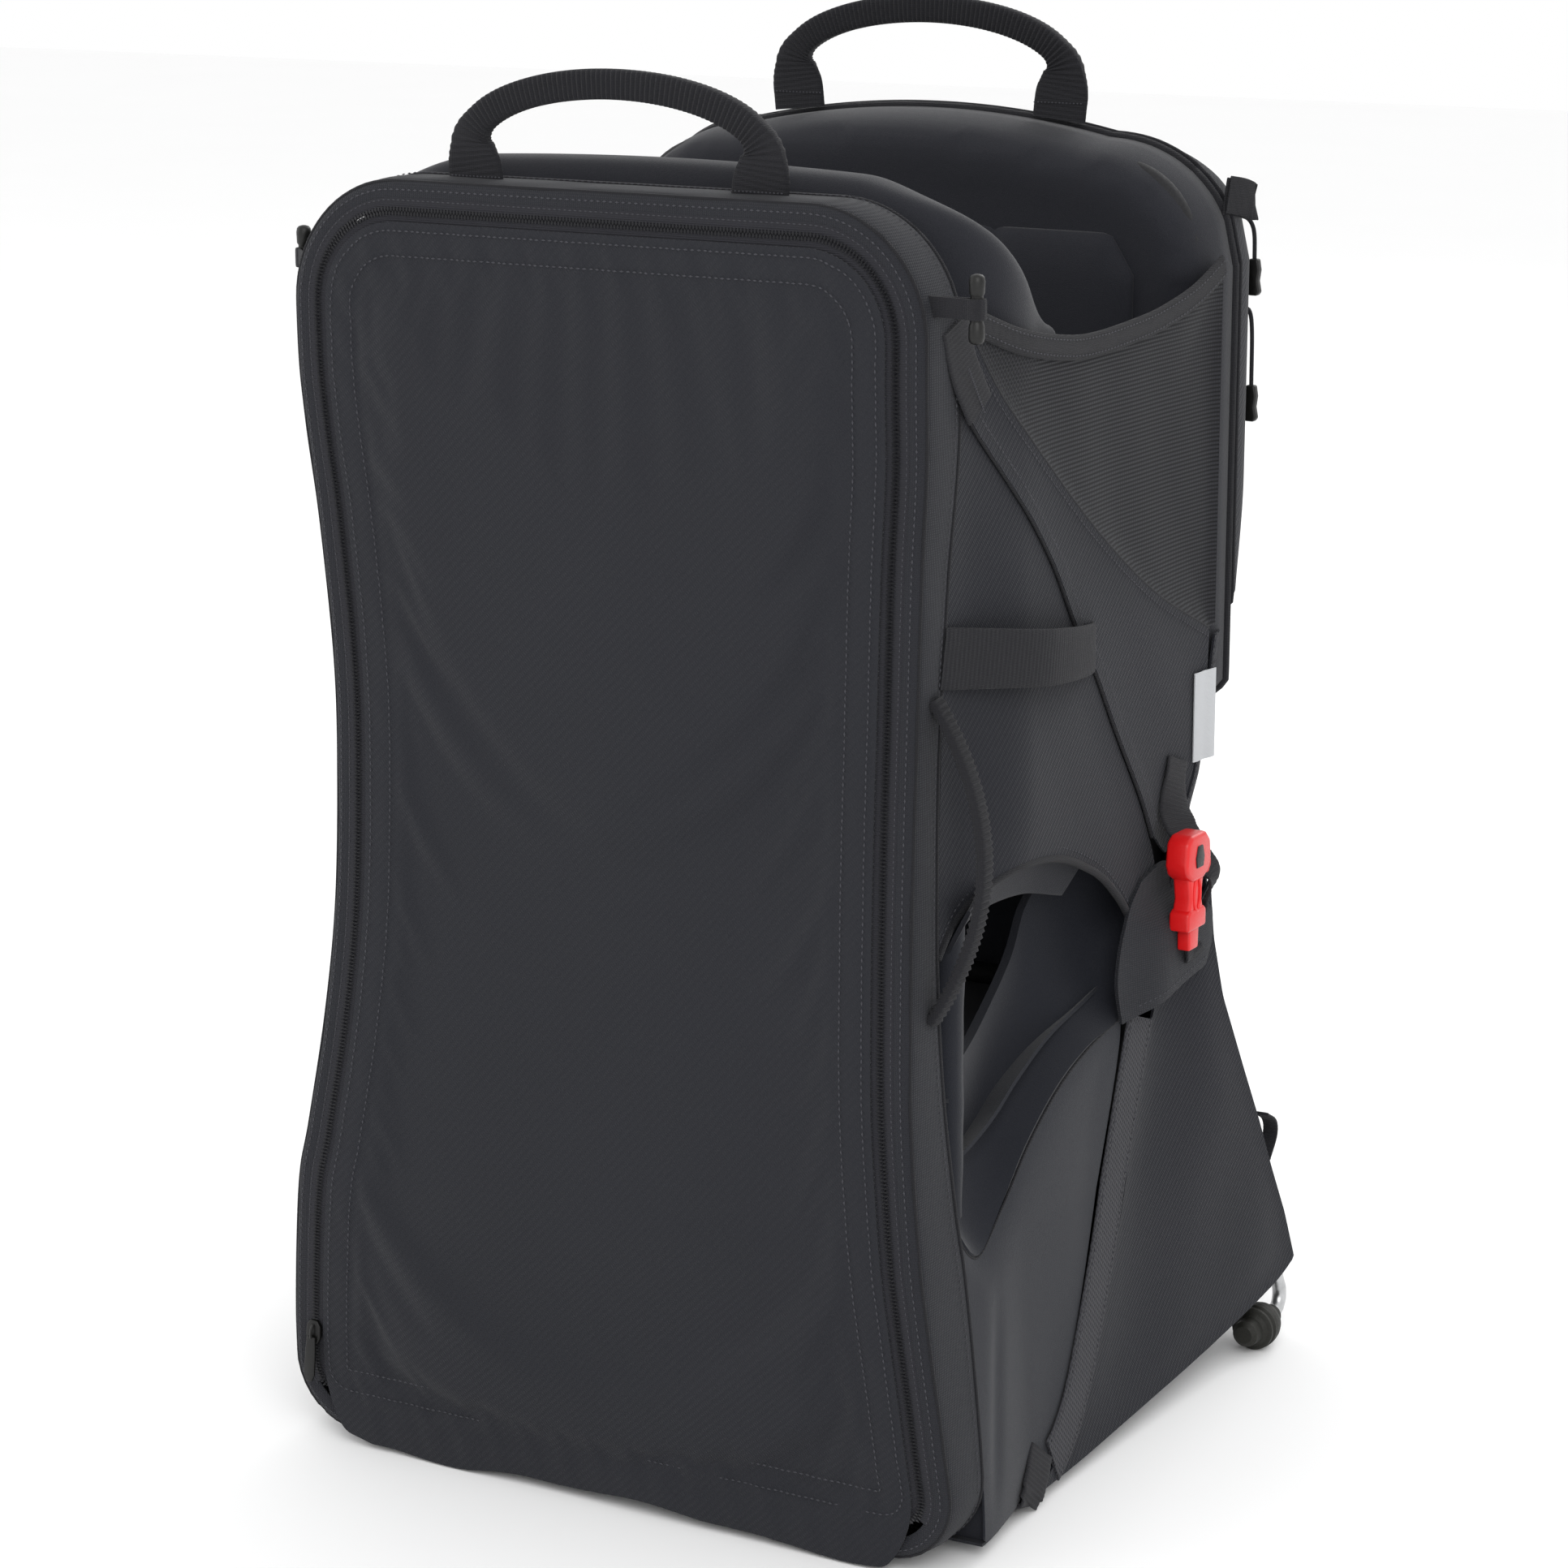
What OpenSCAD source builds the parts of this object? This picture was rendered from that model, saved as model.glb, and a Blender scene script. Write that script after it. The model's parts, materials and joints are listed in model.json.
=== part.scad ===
// Child carrier backpack with a zip-on harness cover, a bent-tube frame and a folding rear stand.
// Origin: on the ground, midway between the front and rear faces, in the plane of symmetry.
// +X is the wearer's left, -Y is the wearer's side, +Z is up.

/* [Front panel] */
// Half-width of the cover zipper at the waist
waist_half = 159; // [150:1:165]
// Height of the narrowest point of the front panel
waist_z = 300; // [280:1:320]
// How much wider each side is at the bottom than at the waist
bottom_flare = 26; // [15:1:30]
// How much wider each side is at the top than at the waist
top_flare = 6; // [2:1:8]
// Height of the zipper along the top edge
zip_top = 667; // [660:1:670]
// Height of the zipper's lower corners
zip_bottom = 22; // [20:1:26]
// Distance from the zipper to the outer piping of the gusset
gusset_margin = 15; // [12:1:15]

/* [Body] */
// Distance from the plane of symmetry to the inner face of the side panels
side_in = 184; // [183:0.5:184]
// Thickness of a side panel
side_t = 2.5; // [2:0.5:2.5]
// Rear face of the padded rear wall
rear_y = 134; // [132:1:134]
// Height of the crown of the rear wall
rear_top = 703; // [690:1:705]

/* [Frame] */
// Outside diameter of the back frame tube
back_tube_d = 16; // [14:1:16]
// Outside diameter of the seat hoop tube
hoop_tube_d = 14; // [12:1:14]
// Wall thickness of both tubes
tube_wall = 1.5; // [1:0.5:2]
// Distance from the plane of symmetry to the back frame's legs
leg_x = 164; // [162:1:164]
// Distance from the plane of symmetry to the seat hoop's lower legs
hoop_x = 170; // [169:1:170]

/* [Stand] */
// Diameter of the stand's bent rod
stand_d = 8; // [7:0.5:8]
// Position of the stand's pivot, front to back
pivot_y = 74; // [72:1:76]
// Height of the stand's pivot
pivot_z = 268; // [264:1:268]
// Radius of the rubber feet on the stand
foot_r = 13; // [12:0.5:13]
// Diameter of the two pivot pins
pin_d = 6; // [5:0.5:6]

/* [Webbing] */
// Width of the webbing of the carry handles and side grips
webbing_w = 32; // [28:1:32]
// Half the distance between a carry handle's two ends
handle_half = 81; // [75:1:82]
// Height of a carry handle above the seam it is sewn into
handle_rise = 54; // [45:1:56]

/* [Hidden] */

gap = 0.4;                      // clearance between neighbouring soft solids
side_out = side_in + side_t;
fabric_black = "#26272b";
lining_black = "#2b2b31";
webbing_black = "#1d1e21";
plastic_black = "#141512";
signal_red = "#c8242c";
bare_aluminium = "#9a9b9d";

// ---------- outlines ----------

// Half-width of the zipper line at height z: a waisted panel, flared towards the bottom.
function zip_half(z) = z < waist_z
    ? waist_half + bottom_flare * pow((waist_z - z) / (waist_z - zip_bottom), 2)
    : waist_half + top_flare * (z - waist_z) / (zip_top - waist_z);

top_r = 48;
bottom_r = 34;
function right_edge(d) = [
    for (a = [-90:15:0])
        let (c = zip_bottom + bottom_r)
        [zip_half(c) - bottom_r + (bottom_r - d) * cos(a), c + (bottom_r - d) * sin(a)],
    for (i = [1:13])
        let (z = zip_bottom + bottom_r + i * (zip_top - top_r - zip_bottom - bottom_r) / 14)
        [zip_half(z) - d, z],
    for (a = [0:15:90])
        let (c = zip_top - top_r)
        [zip_half(c) - top_r + (top_r - d) * cos(a), c + (top_r - d) * sin(a)]
];
// The whole outline, d inside the zipper line.
function outline(d) = let (r = right_edge(d), n = len(r))
    concat(r, [for (i = [n - 1:-1:0]) [-r[i][0], r[i][1]]]);

// Seam between the front side panel and the diagonal wing, as [y, z].
seam_front = [[-175.5, 589], [-168, 578], [-129, 541], [-88, 499], [-60, 461],
              [-35, 431], [-10, 396], [21, 355], [37, 329]];
// Seam between the diagonal wing and the mesh panel.
seam_mesh = [[-169, 621], [-135, 582], [-81, 538], [-24, 497], [36, 461], [103, 431]];
// Elastic top edge of the mesh panel, from the rear to the front.
mesh_top = [[112.5, 625], [78, 613], [40, 606], [9, 603], [-40, 601], [-74, 603], [-120, 611], [-160, 624]];
// Upper edge of the leg opening, from the rear to the front.
leg_arch = [[44, 309], [38, 297], [19, 286], [0, 303], [-22, 320], [-46, 332], [-70, 341],
            [-95, 346], [-120, 347], [-140, 342], [-160, 330], [-175.5, 314]];
// Upper edge of the lower side panel, from the front to the rear.
lower_edge = [[-175.5, 172], [-165, 156], [-150, 155], [-125, 172], [-98, 196], [-64, 217], [-30, 229], [8, 236]];
// Front and rear edges of the tape that binds the lower side panel, from the top down.
tape_front = [[8, 236], [-10, 185], [-29, 135], [-49, 88], [-73, 42], [-96, 20], [-133, 10]];
tape_rear = [[42, 229], [26, 185], [8, 135], [-16, 88], [-42, 46], [-70, 22], [-106, 8]];

function reversed(v) = [for (i = [len(v) - 1:-1:0]) v[i]];
function shifted(v, dy) = [for (p = v) [p[0] + dy, p[1]]];

// ---------- building blocks ----------

// Extrudes a drawing in [x, z] from y0 to y1.
module slab_y(y0, y1) {
    translate([0, y1, 0]) rotate([90, 0, 0]) linear_extrude(y1 - y0) children();
}

// Extrudes a drawing in [y, z] from x0 to x1.
module slab_x(x0, x1) {
    translate([x0, 0, 0]) rotate([90, 0, 90]) linear_extrude(x1 - x0) children();
}

// A box between two corners.
module block(a, b) {
    translate(a) cube(b - a);
}

// Draws for the left side (s = 1) or, mirrored, for the right side (s = -1).
module on_side(s) {
    if (s > 0) children();
    else mirror([1, 0, 0]) children();
}

// A round bar along X between x0 and x1.
module bar_x(x0, x1, y, z, d) {
    translate([x0, y, z]) rotate([0, 90, 0]) cylinder(h = x1 - x0, d = d, $fn = 48);
}

function unit(v) = v / norm(v);
function axes(x, y, z, o) = [
    [x[0], y[0], z[0], o[0]], [x[1], y[1], z[1], o[1]], [x[2], y[2], z[2], o[2]], [0, 0, 0, 1]
];
// Half the turn between two directions, in degrees.
function half_turn(u, v) = acos(min(1, max(-1, u * v))) / 2;
// How far the path point i is cut back to make room for its bend.
function cut_back(p, i, r) = (i == 0 || i == len(p) - 1) ? 0
    : r * tan(half_turn(unit(p[i] - p[i - 1]), unit(p[i + 1] - p[i])));

module ring_section(od, id) {
    difference() {
        circle(d = od, $fn = 48);
        if (id > 0) circle(d = id, $fn = 48);
    }
}

// A tube, or a solid rod when id is 0, that follows the points p with bends of radius r.
// Each bend is a trace thicker than the straights, which run a little way into it.
swell = 0.1;
tuck = 1;
module bent_tube(p, r, od, id = 0) {
    for (i = [0:len(p) - 2]) {
        u = unit(p[i + 1] - p[i]);
        a = p[i] + u * max(0, cut_back(p, i, r) - tuck);
        b = p[i + 1] - u * max(0, cut_back(p, i + 1, r) - tuck);
        side = unit(cross(u, abs(u[0]) < 0.9 ? [1, 0, 0] : [0, 1, 0]));
        multmatrix(axes(side, cross(u, side), u, a))
            linear_extrude(norm(b - a)) ring_section(od, id);
    }
    for (i = [1:len(p) - 2]) {
        u = unit(p[i] - p[i - 1]);
        v = unit(p[i + 1] - p[i]);
        n = unit(v - u * (u * v));
        start = p[i] - u * cut_back(p, i, r);
        multmatrix(axes(-n, u, cross(-n, u), start + n * r))
            rotate_extrude(angle = 2 * half_turn(u, v), $fn = 96)
                translate([r, 0]) ring_section(od + swell, id > 0 ? id - swell : 0);
    }
}

// ---------- frame ----------

leg_y = -155;
frame_top = 600;
back_path = [
    [leg_x, leg_y, 9], [leg_x, leg_y, frame_top], [-leg_x, leg_y, frame_top], [-leg_x, leg_y, 9]
];
module back_frame_tube() {
    color(bare_aluminium) bent_tube(back_path, 60, back_tube_d, back_tube_d - 2 * tube_wall);
}

hoop_rise = [[hoop_x, -132, 34], [hoop_x, -58, 42], [hoop_x, 12, 180], [hoop_x, pivot_y - 4, 296],
             [hoop_x, 100, 430], [hoop_x, 104, rear_top - 29]];
hoop_path = concat(hoop_rise, [for (p = reversed(hoop_rise)) [-p[0], p[1], p[2]]]);
module seat_hoop_tube() {
    color(bare_aluminium) bent_tube(hoop_path, 45, hoop_tube_d, hoop_tube_d - 2 * tube_wall);
}

crossbar_d = 12;
seat_bar = [41, 238];
// The straight bars across the back frame's legs and across the seat hoop.
module crossbars() {
    back_half = leg_x - back_tube_d / 2 - 0.1;
    seat_half = hoop_x - hoop_tube_d / 2 - 0.1;
    color(bare_aluminium) {
        bar_x(-back_half, back_half, leg_y, 140, crossbar_d);
        bar_x(-seat_half, seat_half, seat_bar[0], seat_bar[1], crossbar_d);
    }
}

// Plastic blocks that join each back frame leg to the lower end of the seat hoop.
bracket_lo = 29;
bracket_hi = 52;
module base_brackets() {
    tube_gap = 0.2;
    color(plastic_black) for (s = [1, -1]) on_side(s)
        difference() {
            slab_x(150, 182.5)
                polygon([[-166, bracket_lo], [-122, bracket_lo - 2], [-112, bracket_lo + 1],
                         [-112, 47], [-124, bracket_hi], [-166, bracket_hi]]);
            translate([leg_x, leg_y, 0]) cylinder(h = 100, d = back_tube_d + tube_gap, $fn = 48);
            bent_tube([hoop_rise[0] - 5 * unit(hoop_rise[1] - hoop_rise[0]), hoop_rise[1], hoop_rise[2]],
                      45, hoop_tube_d + tube_gap);
        }
}

// Saddle that clamps round the seat hoop and carries a pivot pin for the stand.
module stand_bracket(s) {
    color(plastic_black) on_side(s) difference() {
        slab_x(161, 187.5)
            polygon([[38, 262], [46, 250], [84, 250], [90, 258], [90, 280], [82, 290], [56, 290], [46, 286]]);
        bent_tube([hoop_rise[1], hoop_rise[2], hoop_rise[3], hoop_rise[4]], 45, hoop_tube_d + 0.2);
        bar_x(178, 190, pivot_y, pivot_z, pin_d + 0.1);
    }
}

// Two pivot pins, and the rivets of the crossbars and the base brackets.
module frame_fasteners() {
    color(bare_aluminium) for (s = [1, -1]) on_side(s) {
        bar_x(179, 197, pivot_y, pivot_z, pin_d);
        bar_x(196.2, 197.8, pivot_y, pivot_z, pin_d + 4);
        for (y = [-155, -128]) bar_x(182.6, 183.8, y, 40, 7);
        for (x = [155, 173]) translate([x, -166.1, 44]) rotate([90, 0, 0]) cylinder(h = 1.6, d = 5, $fn = 32);
    }
}

module front_foot(s) {
    color(plastic_black) on_side(s) translate([leg_x, leg_y, 0]) difference() {
        rotate_extrude($fn = 64)
            polygon(concat([[0, 0]], [for (a = [-70:14:0]) [13 * cos(a), 13 * (sin(70) + sin(a))]],
                           [[13, 20], [11, 28], [0, 28]]));
        translate([0, 0, 8.8]) cylinder(h = 40, d = back_tube_d + 0.2, $fn = 48);
    }
}

// ---------- wearer's side ----------

board_y = [-175.6, -164.2];
module back_board() {
    color(lining_black) slab_y(board_y[0], board_y[1]) intersection() {
        polygon(outline(-12));
        translate([-179, 54]) square([358, 614]);
    }
}

pad_y = [-183.5, -176];
module back_pads() {
    color(lining_black) slab_y(pad_y[0], pad_y[1]) {
        for (s = [1, -1]) polygon([for (p = [[20, 250], [95, 240], [112, 300], [112, 520], [90, 575],
                                             [30, 575], [20, 540]]) [s * p[0], p[1]]]);
        polygon([[-105, 120], [-80, 96], [80, 96], [105, 120], [112, 190], [80, 215], [-80, 215], [-112, 190]]);
    }
}

// Padded shoulder strap folded down behind the cover; width and bow in millimetres.
strap_w = 62;
function strap_x(z) = 62 + 34 * sin((600 - z) / 350 * 115);
module shoulder_strap(s) {
    color(fabric_black) slab_y(-199, -185) polygon(concat(
        [for (z = [600:-25:250]) [s * (strap_x(z) - strap_w / 2), z]],
        [for (z = [250:25:600]) [s * (strap_x(z) + strap_w / 2), z]]));
}

module hip_belt(s) {
    color(fabric_black) slab_y(-202, -187) polygon([for (p = [
        [24, 112], [60, 92], [120, 78], [150, 92], [152, 170], [140, 196], [90, 200], [40, 178], [24, 160]
    ]) [s * p[0], p[1]]]);
}

module hip_buckle() {
    color(plastic_black) block([-23, -200, 120], [23, -189, 156]);
}

gusset_y = [-205.5, -176];
module harness_gusset() {
    color(fabric_black) {
        slab_y(gusset_y[0], gusset_y[1]) difference() {
            polygon(outline(-gusset_margin));
            polygon(outline(-gusset_margin + 3));
        }
        slab_y(gusset_y[0] - 3, gusset_y[0]) difference() {
            polygon(outline(-gusset_margin));
            polygon(outline(-6));
        }
    }
}

zip_y = [-211, -208.6];
// Keeps the part of an outline above the bottom hem, where the zipper runs.
module above_hem() {
    intersection() {
        children();
        translate([-250, zip_bottom + 6]) square([500, 800]);
    }
}
module zipper_outer() {
    color(webbing_black) slab_y(zip_y[0], zip_y[1]) above_hem() difference() {
        polygon(outline(-5.6));
        polygon(outline(-0.2));
    }
}
module zipper_inner() {
    color(webbing_black) slab_y(zip_y[0], zip_y[1]) above_hem() difference() {
        polygon(outline(0.2));
        polygon(outline(5.2));
    }
}

cover_y = [-215, -208.9];
hem_z = 15;
hem_half = 145;
module harness_cover() {
    color(fabric_black) slab_y(cover_y[0], cover_y[1]) {
        polygon(outline(5.6));
        translate([-hem_half, hem_z]) square([2 * hem_half, 20]);
    }
}

// Zipper slider and pull tab, at the lower end of the zipper on the wearer's right.
slider_z = 62;
slider_lean = 8.2;
module cover_slider() {
    color(plastic_black) translate([-zip_half(slider_z), zip_y[0] - 0.3, slider_z])
        rotate([0, slider_lean, 0]) {
            block([-5, -2.2, -9], [5, 0, 9]);
            block([-1.2, -4.6, -6], [1.2, -2.2, 6]);
            block([-3, -5.6, -34], [3, -4, -2]);
        }
}

// ---------- cockpit ----------

module front_pad() {
    color(lining_black) {
        slab_y(-163.8, -120) polygon(concat(
            [[-178, 614], [178, 614]],
            [for (a = [0:15:90]) [118 + 62 * cos(a), 632 + 50 * sin(a)]],
            [[60, 690], [0, 695], [-60, 690]],
            [for (a = [90:15:180]) [-118 + 62 * cos(a), 632 + 50 * sin(a)]]));
        for (s = [1, -1]) on_side(s)
            slab_x(150, 180) polygon([[-120, 560], [-84, 566], [-66, 590], [-70, 616], [-90, 640], [-120, 650]]);
    }
}

// Arch of the padded rear wall, as [x, z].
wall_half = side_out;
function arch(d) = concat(
    [for (a = [0:12:84]) [wall_half - 74 - d + 74 * cos(a), rear_top - 78 - d + 66 * sin(a)]],
    [[60, rear_top - 4 - d], [0, rear_top - d], [-60, rear_top - 4 - d]],
    [for (a = [96:12:180]) [-wall_half + 74 + d + 74 * cos(a), rear_top - 78 - d + 66 * sin(a)]]);

wall_corner = 20;
wall_t = 8;
function wall_plan(d) = concat(
    [[wall_half - d, 113.2 - d]],
    [for (a = [0:15:90]) [wall_half - wall_corner + (wall_corner - d) * cos(a),
                          rear_y - wall_corner + (wall_corner - d) * sin(a)]],
    [for (a = [90:15:180]) [-wall_half + wall_corner + (wall_corner - d) * cos(a),
                            rear_y - wall_corner + (wall_corner - d) * sin(a)]],
    [[-wall_half + d, 113.2 - d]]);
module rear_wall() {
    color(lining_black) intersection() {
        translate([0, 0, 425]) linear_extrude(300) difference() {
            polygon(wall_plan(0));
            polygon(wall_plan(wall_t));
        }
        slab_y(100, 150) polygon(concat(arch(0), [[-wall_half, 400], [wall_half, 400]]));
    }
}

// Zipped pocket on the rear wall that holds the folded sun roof.
pocket_y = 160;
module rear_pocket() {
    color(fabric_black) intersection() {
        slab_x(-172, 172) polygon([[rear_y + gap, 428], [150, 436], [pocket_y, 500], [pocket_y, 660],
                                   [150, 682], [rear_y + gap, 690]]);
        slab_y(100, 200) polygon(concat(arch(8), [[-wall_half, 400], [wall_half, 400]]));
    }
}

module rear_lower_panel() {
    color(fabric_black) slab_x(-180, 180)
        polygon([[126, 424.5], [rear_y, 424.5], [98, 331], [92, 299], [86, 299], [91, 333]]);
}

module seat_back_pad() {
    color(lining_black) slab_x(-146, 146)
        polygon([[74, 330], [90, 360], [91, 420], [94, 640], [82, 640], [76, 420], [62, 335]]);
}

module side_mesh(s) {
    color("#303238") on_side(s) slab_x(side_in, side_out)
        polygon(concat(shifted(seam_mesh, gap), [[112.5, 431]], mesh_top));
}

module side_wing(s) {
    color(fabric_black) on_side(s) slab_x(side_in, side_out)
        polygon(concat(shifted(reversed(seam_front), gap), [[-174, 618]], seam_mesh,
                       [[101, 397], [84, 352], [52, 316]]));
}

module front_side(s) {
    color(fabric_black) on_side(s) slab_x(side_in, side_out) polygon(concat(seam_front, leg_arch));
}

module lower_side(s) {
    color(lining_black) on_side(s) slab_x(side_in, side_out)
        polygon(concat(lower_edge, tape_front, [[-175.5, 10]]));
}

module edge_tapes() {
    color(webbing_black) for (s = [1, -1]) on_side(s) slab_x(side_in, side_out + 0.8)
        polygon(concat(shifted(tape_front, gap), reversed(shifted(tape_rear, gap))));
}

// Padded sides of the seat that slope inwards from the lower side panels.
module leg_pads() {
    color(lining_black) for (s = [1, -1]) on_side(s) hull() {
        block([180, -120, 150], [183, -70, 158]);
        block([176, -90, 190], [183, 0, 198]);
        block([118, -120, 252], [126, 10, 262]);
    }
}

// ---------- child's seat and harness ----------

module seat_saddle() {
    color(lining_black) {
        block([-52, -140, 268], [52, -9, 284]);
        slab_y(-10, 30) polygon([[-52, 268], [52, 268], [104, 284], [140, 320], [136, 326], [100, 296], [50, 284],
                                 [-50, 284], [-100, 296], [-136, 326], [-140, 320], [-104, 284]]);
        block([-96, 29, 274], [96, 52, 292]);
    }
}

module child_harness() {
    color(webbing_black) for (s = [1, -1]) on_side(s)
        slab_x(32, 62) polygon([[75, 560], [73, 480], [68, 420], [56, 360], [30, 334], [24, 338],
                                [50, 366], [62, 424], [67, 480], [69, 560]]);
}

module harness_buckle() {
    color(signal_red) block([-17, 8, 324], [17, 20, 356]);
}

// ---------- webbing and trim ----------

// Carry handle: flat sewn ends and a folded grip, drawn in [x, z] above its hinge line.
handle_t = 5;
grip_w = 14;
function handle_curve(rx, rz) = [for (a = [0:10:180]) [rx * cos(a), 16 + rz * sin(a)]];
module handle(y, z) {
    color(webbing_black) slab_y(y - handle_t / 2, y + handle_t / 2) translate([0, z]) difference() {
        polygon(concat([[handle_half + webbing_w / 2, 3]],
                       handle_curve(handle_half + 12, handle_rise - 16),
                       [[-handle_half - webbing_w / 2, 3]]));
        polygon(concat([[handle_half - webbing_w / 2, 0]],
                       handle_curve(handle_half - 6, handle_rise - 16 - grip_w),
                       [[-handle_half + webbing_w / 2, 0]]));
    }
}
front_handle_at = [-194, 682.5];
rear_handle_at = [126, 704];
module front_handle() { handle(front_handle_at[0], front_handle_at[1]); }
module rear_handle() { handle(rear_handle_at[0], rear_handle_at[1]); }

// Toggle bar in a webbing loop, drawn pointing out along +X from the gusset seam at the origin.
module toggle_drawn() {
    reach = 22;
    color(plastic_black) translate([reach, 0, 0]) {
        cylinder(h = 14, d = 4, center = true, $fn = 32);
        for (k = [1, -1]) {
            translate([0, 0, k * 8.8]) cylinder(h = 6.6, d = 7.6, center = true, $fn = 32);
            translate([0, 0, k * 12]) sphere(d = 7.6, $fn = 32);
        }
    }
    color(webbing_black) linear_extrude(10, center = true) difference() {
        union() {
            translate([reach, 0]) circle(d = 7.4, $fn = 32);
            translate([2, -2.4]) square([reach - 2, 4.8]);
        }
        translate([reach, 0]) circle(d = 4.6, $fn = 32);
        translate([-1, -0.8]) square([reach, 1.6]);
    }
}
toggle_at = [182, -203, 637];
module toggle(s) {
    swing = s > 0 ? 0 : 52;
    on_side(s) translate(toggle_at) rotate([0, 0, swing]) toggle_drawn();
}

// Webbing grips across the sides, bowed out so that a hand goes behind them.
grip_bow = 15;
module side_grips() {
    chord = 160;
    r = (chord * chord / 4 + grip_bow * grip_bow) / (2 * grip_bow);
    reach = asin(chord / 2 / r);
    color(webbing_black) for (s = [1, -1]) on_side(s)
        translate([0, 0, 434]) linear_extrude(webbing_w - 2) translate([side_out + gap + grip_bow - r + 1.7, -96])
            polygon(concat([for (i = [-8:8]) r * [cos(i * reach / 8), sin(i * reach / 8)]],
                           [for (i = [8:-1:-8]) (r - 2) * [cos(i * reach / 8), sin(i * reach / 8)]]));
}

// Narrow straps that bow out from the gusset seam beside each leg opening.
strap_bow = 27;
module side_straps() {
    chord = 162;
    r = (chord * chord / 4 + strap_bow * strap_bow) / (2 * strap_bow);
    reach = asin(chord / 2 / r);
    color(webbing_black) for (s = [1, -1]) on_side(s)
        slab_y(-190, -178) translate([side_out + strap_bow - r + 2, 364])
            polygon(concat([for (i = [-8:8]) r * [cos(i * reach / 8), sin(i * reach / 8)]],
                           [for (i = [8:-1:-8]) (r - 2) * [cos(i * reach / 8), sin(i * reach / 8)]]));
}

// Fabric flaps that cover the stand's pivots.
module hinge_flaps() {
    color(fabric_black) for (s = [1, -1]) on_side(s) slab_x(198.4, 200)
        polygon([[6, 238], [50, 246], [82, 250], [88, 262], [86, 284], [50, 286], [19, 288]]);
}

// Rear storage bag between the binding tapes and the stand.
module storage_bag() {
    rear_low = [216.9, 46];
    color(fabric_black) {
        slab_x(-196, 196) polygon([[84, 297], [88, 297], rear_low, rear_low - [4, 2]]);
        slab_x(-183, 183) polygon([[-104, 8], [5, 14], [180, 38], [180, 41], [5, 17], [-104, 11]]);
        for (s = [1, -1]) on_side(s) hull() {
            for (p = [[40, 236], [-14, 92], [-66, 26]]) block([189, p[0] + 3, p[1]], [190.4, p[0] + 4, p[1] + 1]);
            for (p = [[98, 236], [216, 60]]) block([210.6, p[0], p[1]], [212, p[0] + 1, p[1] + 1]);
            block([210.6, 190, 44], [212, 192, 46]);
        }
    }
}

// ---------- buckles ----------

buckle_y = [36, 68];
buckle_x = [202, 215];
module buckle_socket(s) {
    prong_gap = 0.5;
    color(signal_red) on_side(s) difference() {
        slab_x(buckle_x[0], buckle_x[1])
            polygon([[buckle_y[0], 304], [buckle_y[0] - 2, 318], [buckle_y[0], 336], [buckle_y[1], 336],
                     [buckle_y[1] + 2, 318], [buckle_y[1], 304], [60, 296], [44, 296]]);
        block([buckle_x[0] + 3 - prong_gap, 42 - prong_gap, 290], [buckle_x[1] - 3 + prong_gap, 62 + prong_gap, 322]);
        block([buckle_x[0] - 1, 40, 327], [buckle_x[1] + 1, 64, 331]);
    }
}

module buckle_plug(s) {
    color(signal_red) on_side(s) {
        difference() {
            block([buckle_x[0] + 1, 37, 270], [buckle_x[1] - 1, 67, 295]);
            block([buckle_x[0] - 1, 41, 274], [buckle_x[1] + 1, 63, 279]);
        }
        block([buckle_x[0] + 3, 42, 295], [buckle_x[1] - 3, 47, 320]);
        block([buckle_x[0] + 3, 57, 295], [buckle_x[1] - 3, 62, 320]);
        block([buckle_x[0] + 3, 50.5, 295], [buckle_x[1] - 3, 53.5, 316]);
    }
}

// ---------- stand ----------

foot_y = [146, 187];
stand_low = [200.4, 203, foot_r];
module stand_rod() {
    hub_x = [188.6, 195.8];
    lug = [192.2, pivot_y, pivot_z];
    bar_at = [192.2, 93, 233];
    color(bare_aluminium) {
        for (s = [1, -1]) on_side(s) difference() {
            union() {
                bar_x(hub_x[0], hub_x[1], pivot_y, pivot_z, 18);
                bent_tube([lug + [0, 3, -5.6], stand_low, [stand_low[0], foot_y[0] + 8, foot_r]], 10, stand_d);
            }
            bar_x(180, 200, pivot_y, pivot_z, pin_d + 0.1);
            bar_x(hub_x[1], 200, pivot_y, pivot_z, 24);
        }
        bar_x(-bar_at[0], bar_at[0], bar_at[1], bar_at[2], stand_d - 1);
    }
}

// Bulb-shaped rubber foot with a flange, on the forward end of the rod.
module stand_foot(s) {
    color(plastic_black) on_side(s) translate([stand_low[0], foot_y[0], foot_r]) rotate([-90, 0, 0])
        difference() {
            rotate_extrude($fn = 64) polygon([
                [0, 0], [5, 0], [7.5, 2], [8, 9], [10, 11], [12.4, 12], [12.4, 14], [11.4, 15], [13, 16.5],
                [13, 20], [12.4, 24], [11, 28], [8.8, 31.6], [6.4, 34], [6.2, 39], [5.2, 40], [0, 40]]);
            translate([0, 0, 6.4]) cylinder(h = 60, d = stand_d + 0.2, $fn = 48);
        }
}

// ---------- rear zippers and labels ----------

rear_zip_z = [645, 596];
rear_zip_x = 171;
module rear_zippers() {
    color(webbing_black) for (z = rear_zip_z)
        block([-rear_zip_x, pocket_y + 0.1, z - 5], [rear_zip_x, pocket_y + 1.6, z + 5]);
}

module rear_slider(z) {
    color(plastic_black)
        block([rear_zip_x - 13, pocket_y + 2, z - 5], [rear_zip_x, pocket_y + 5.6, z + 5]);
}

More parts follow.
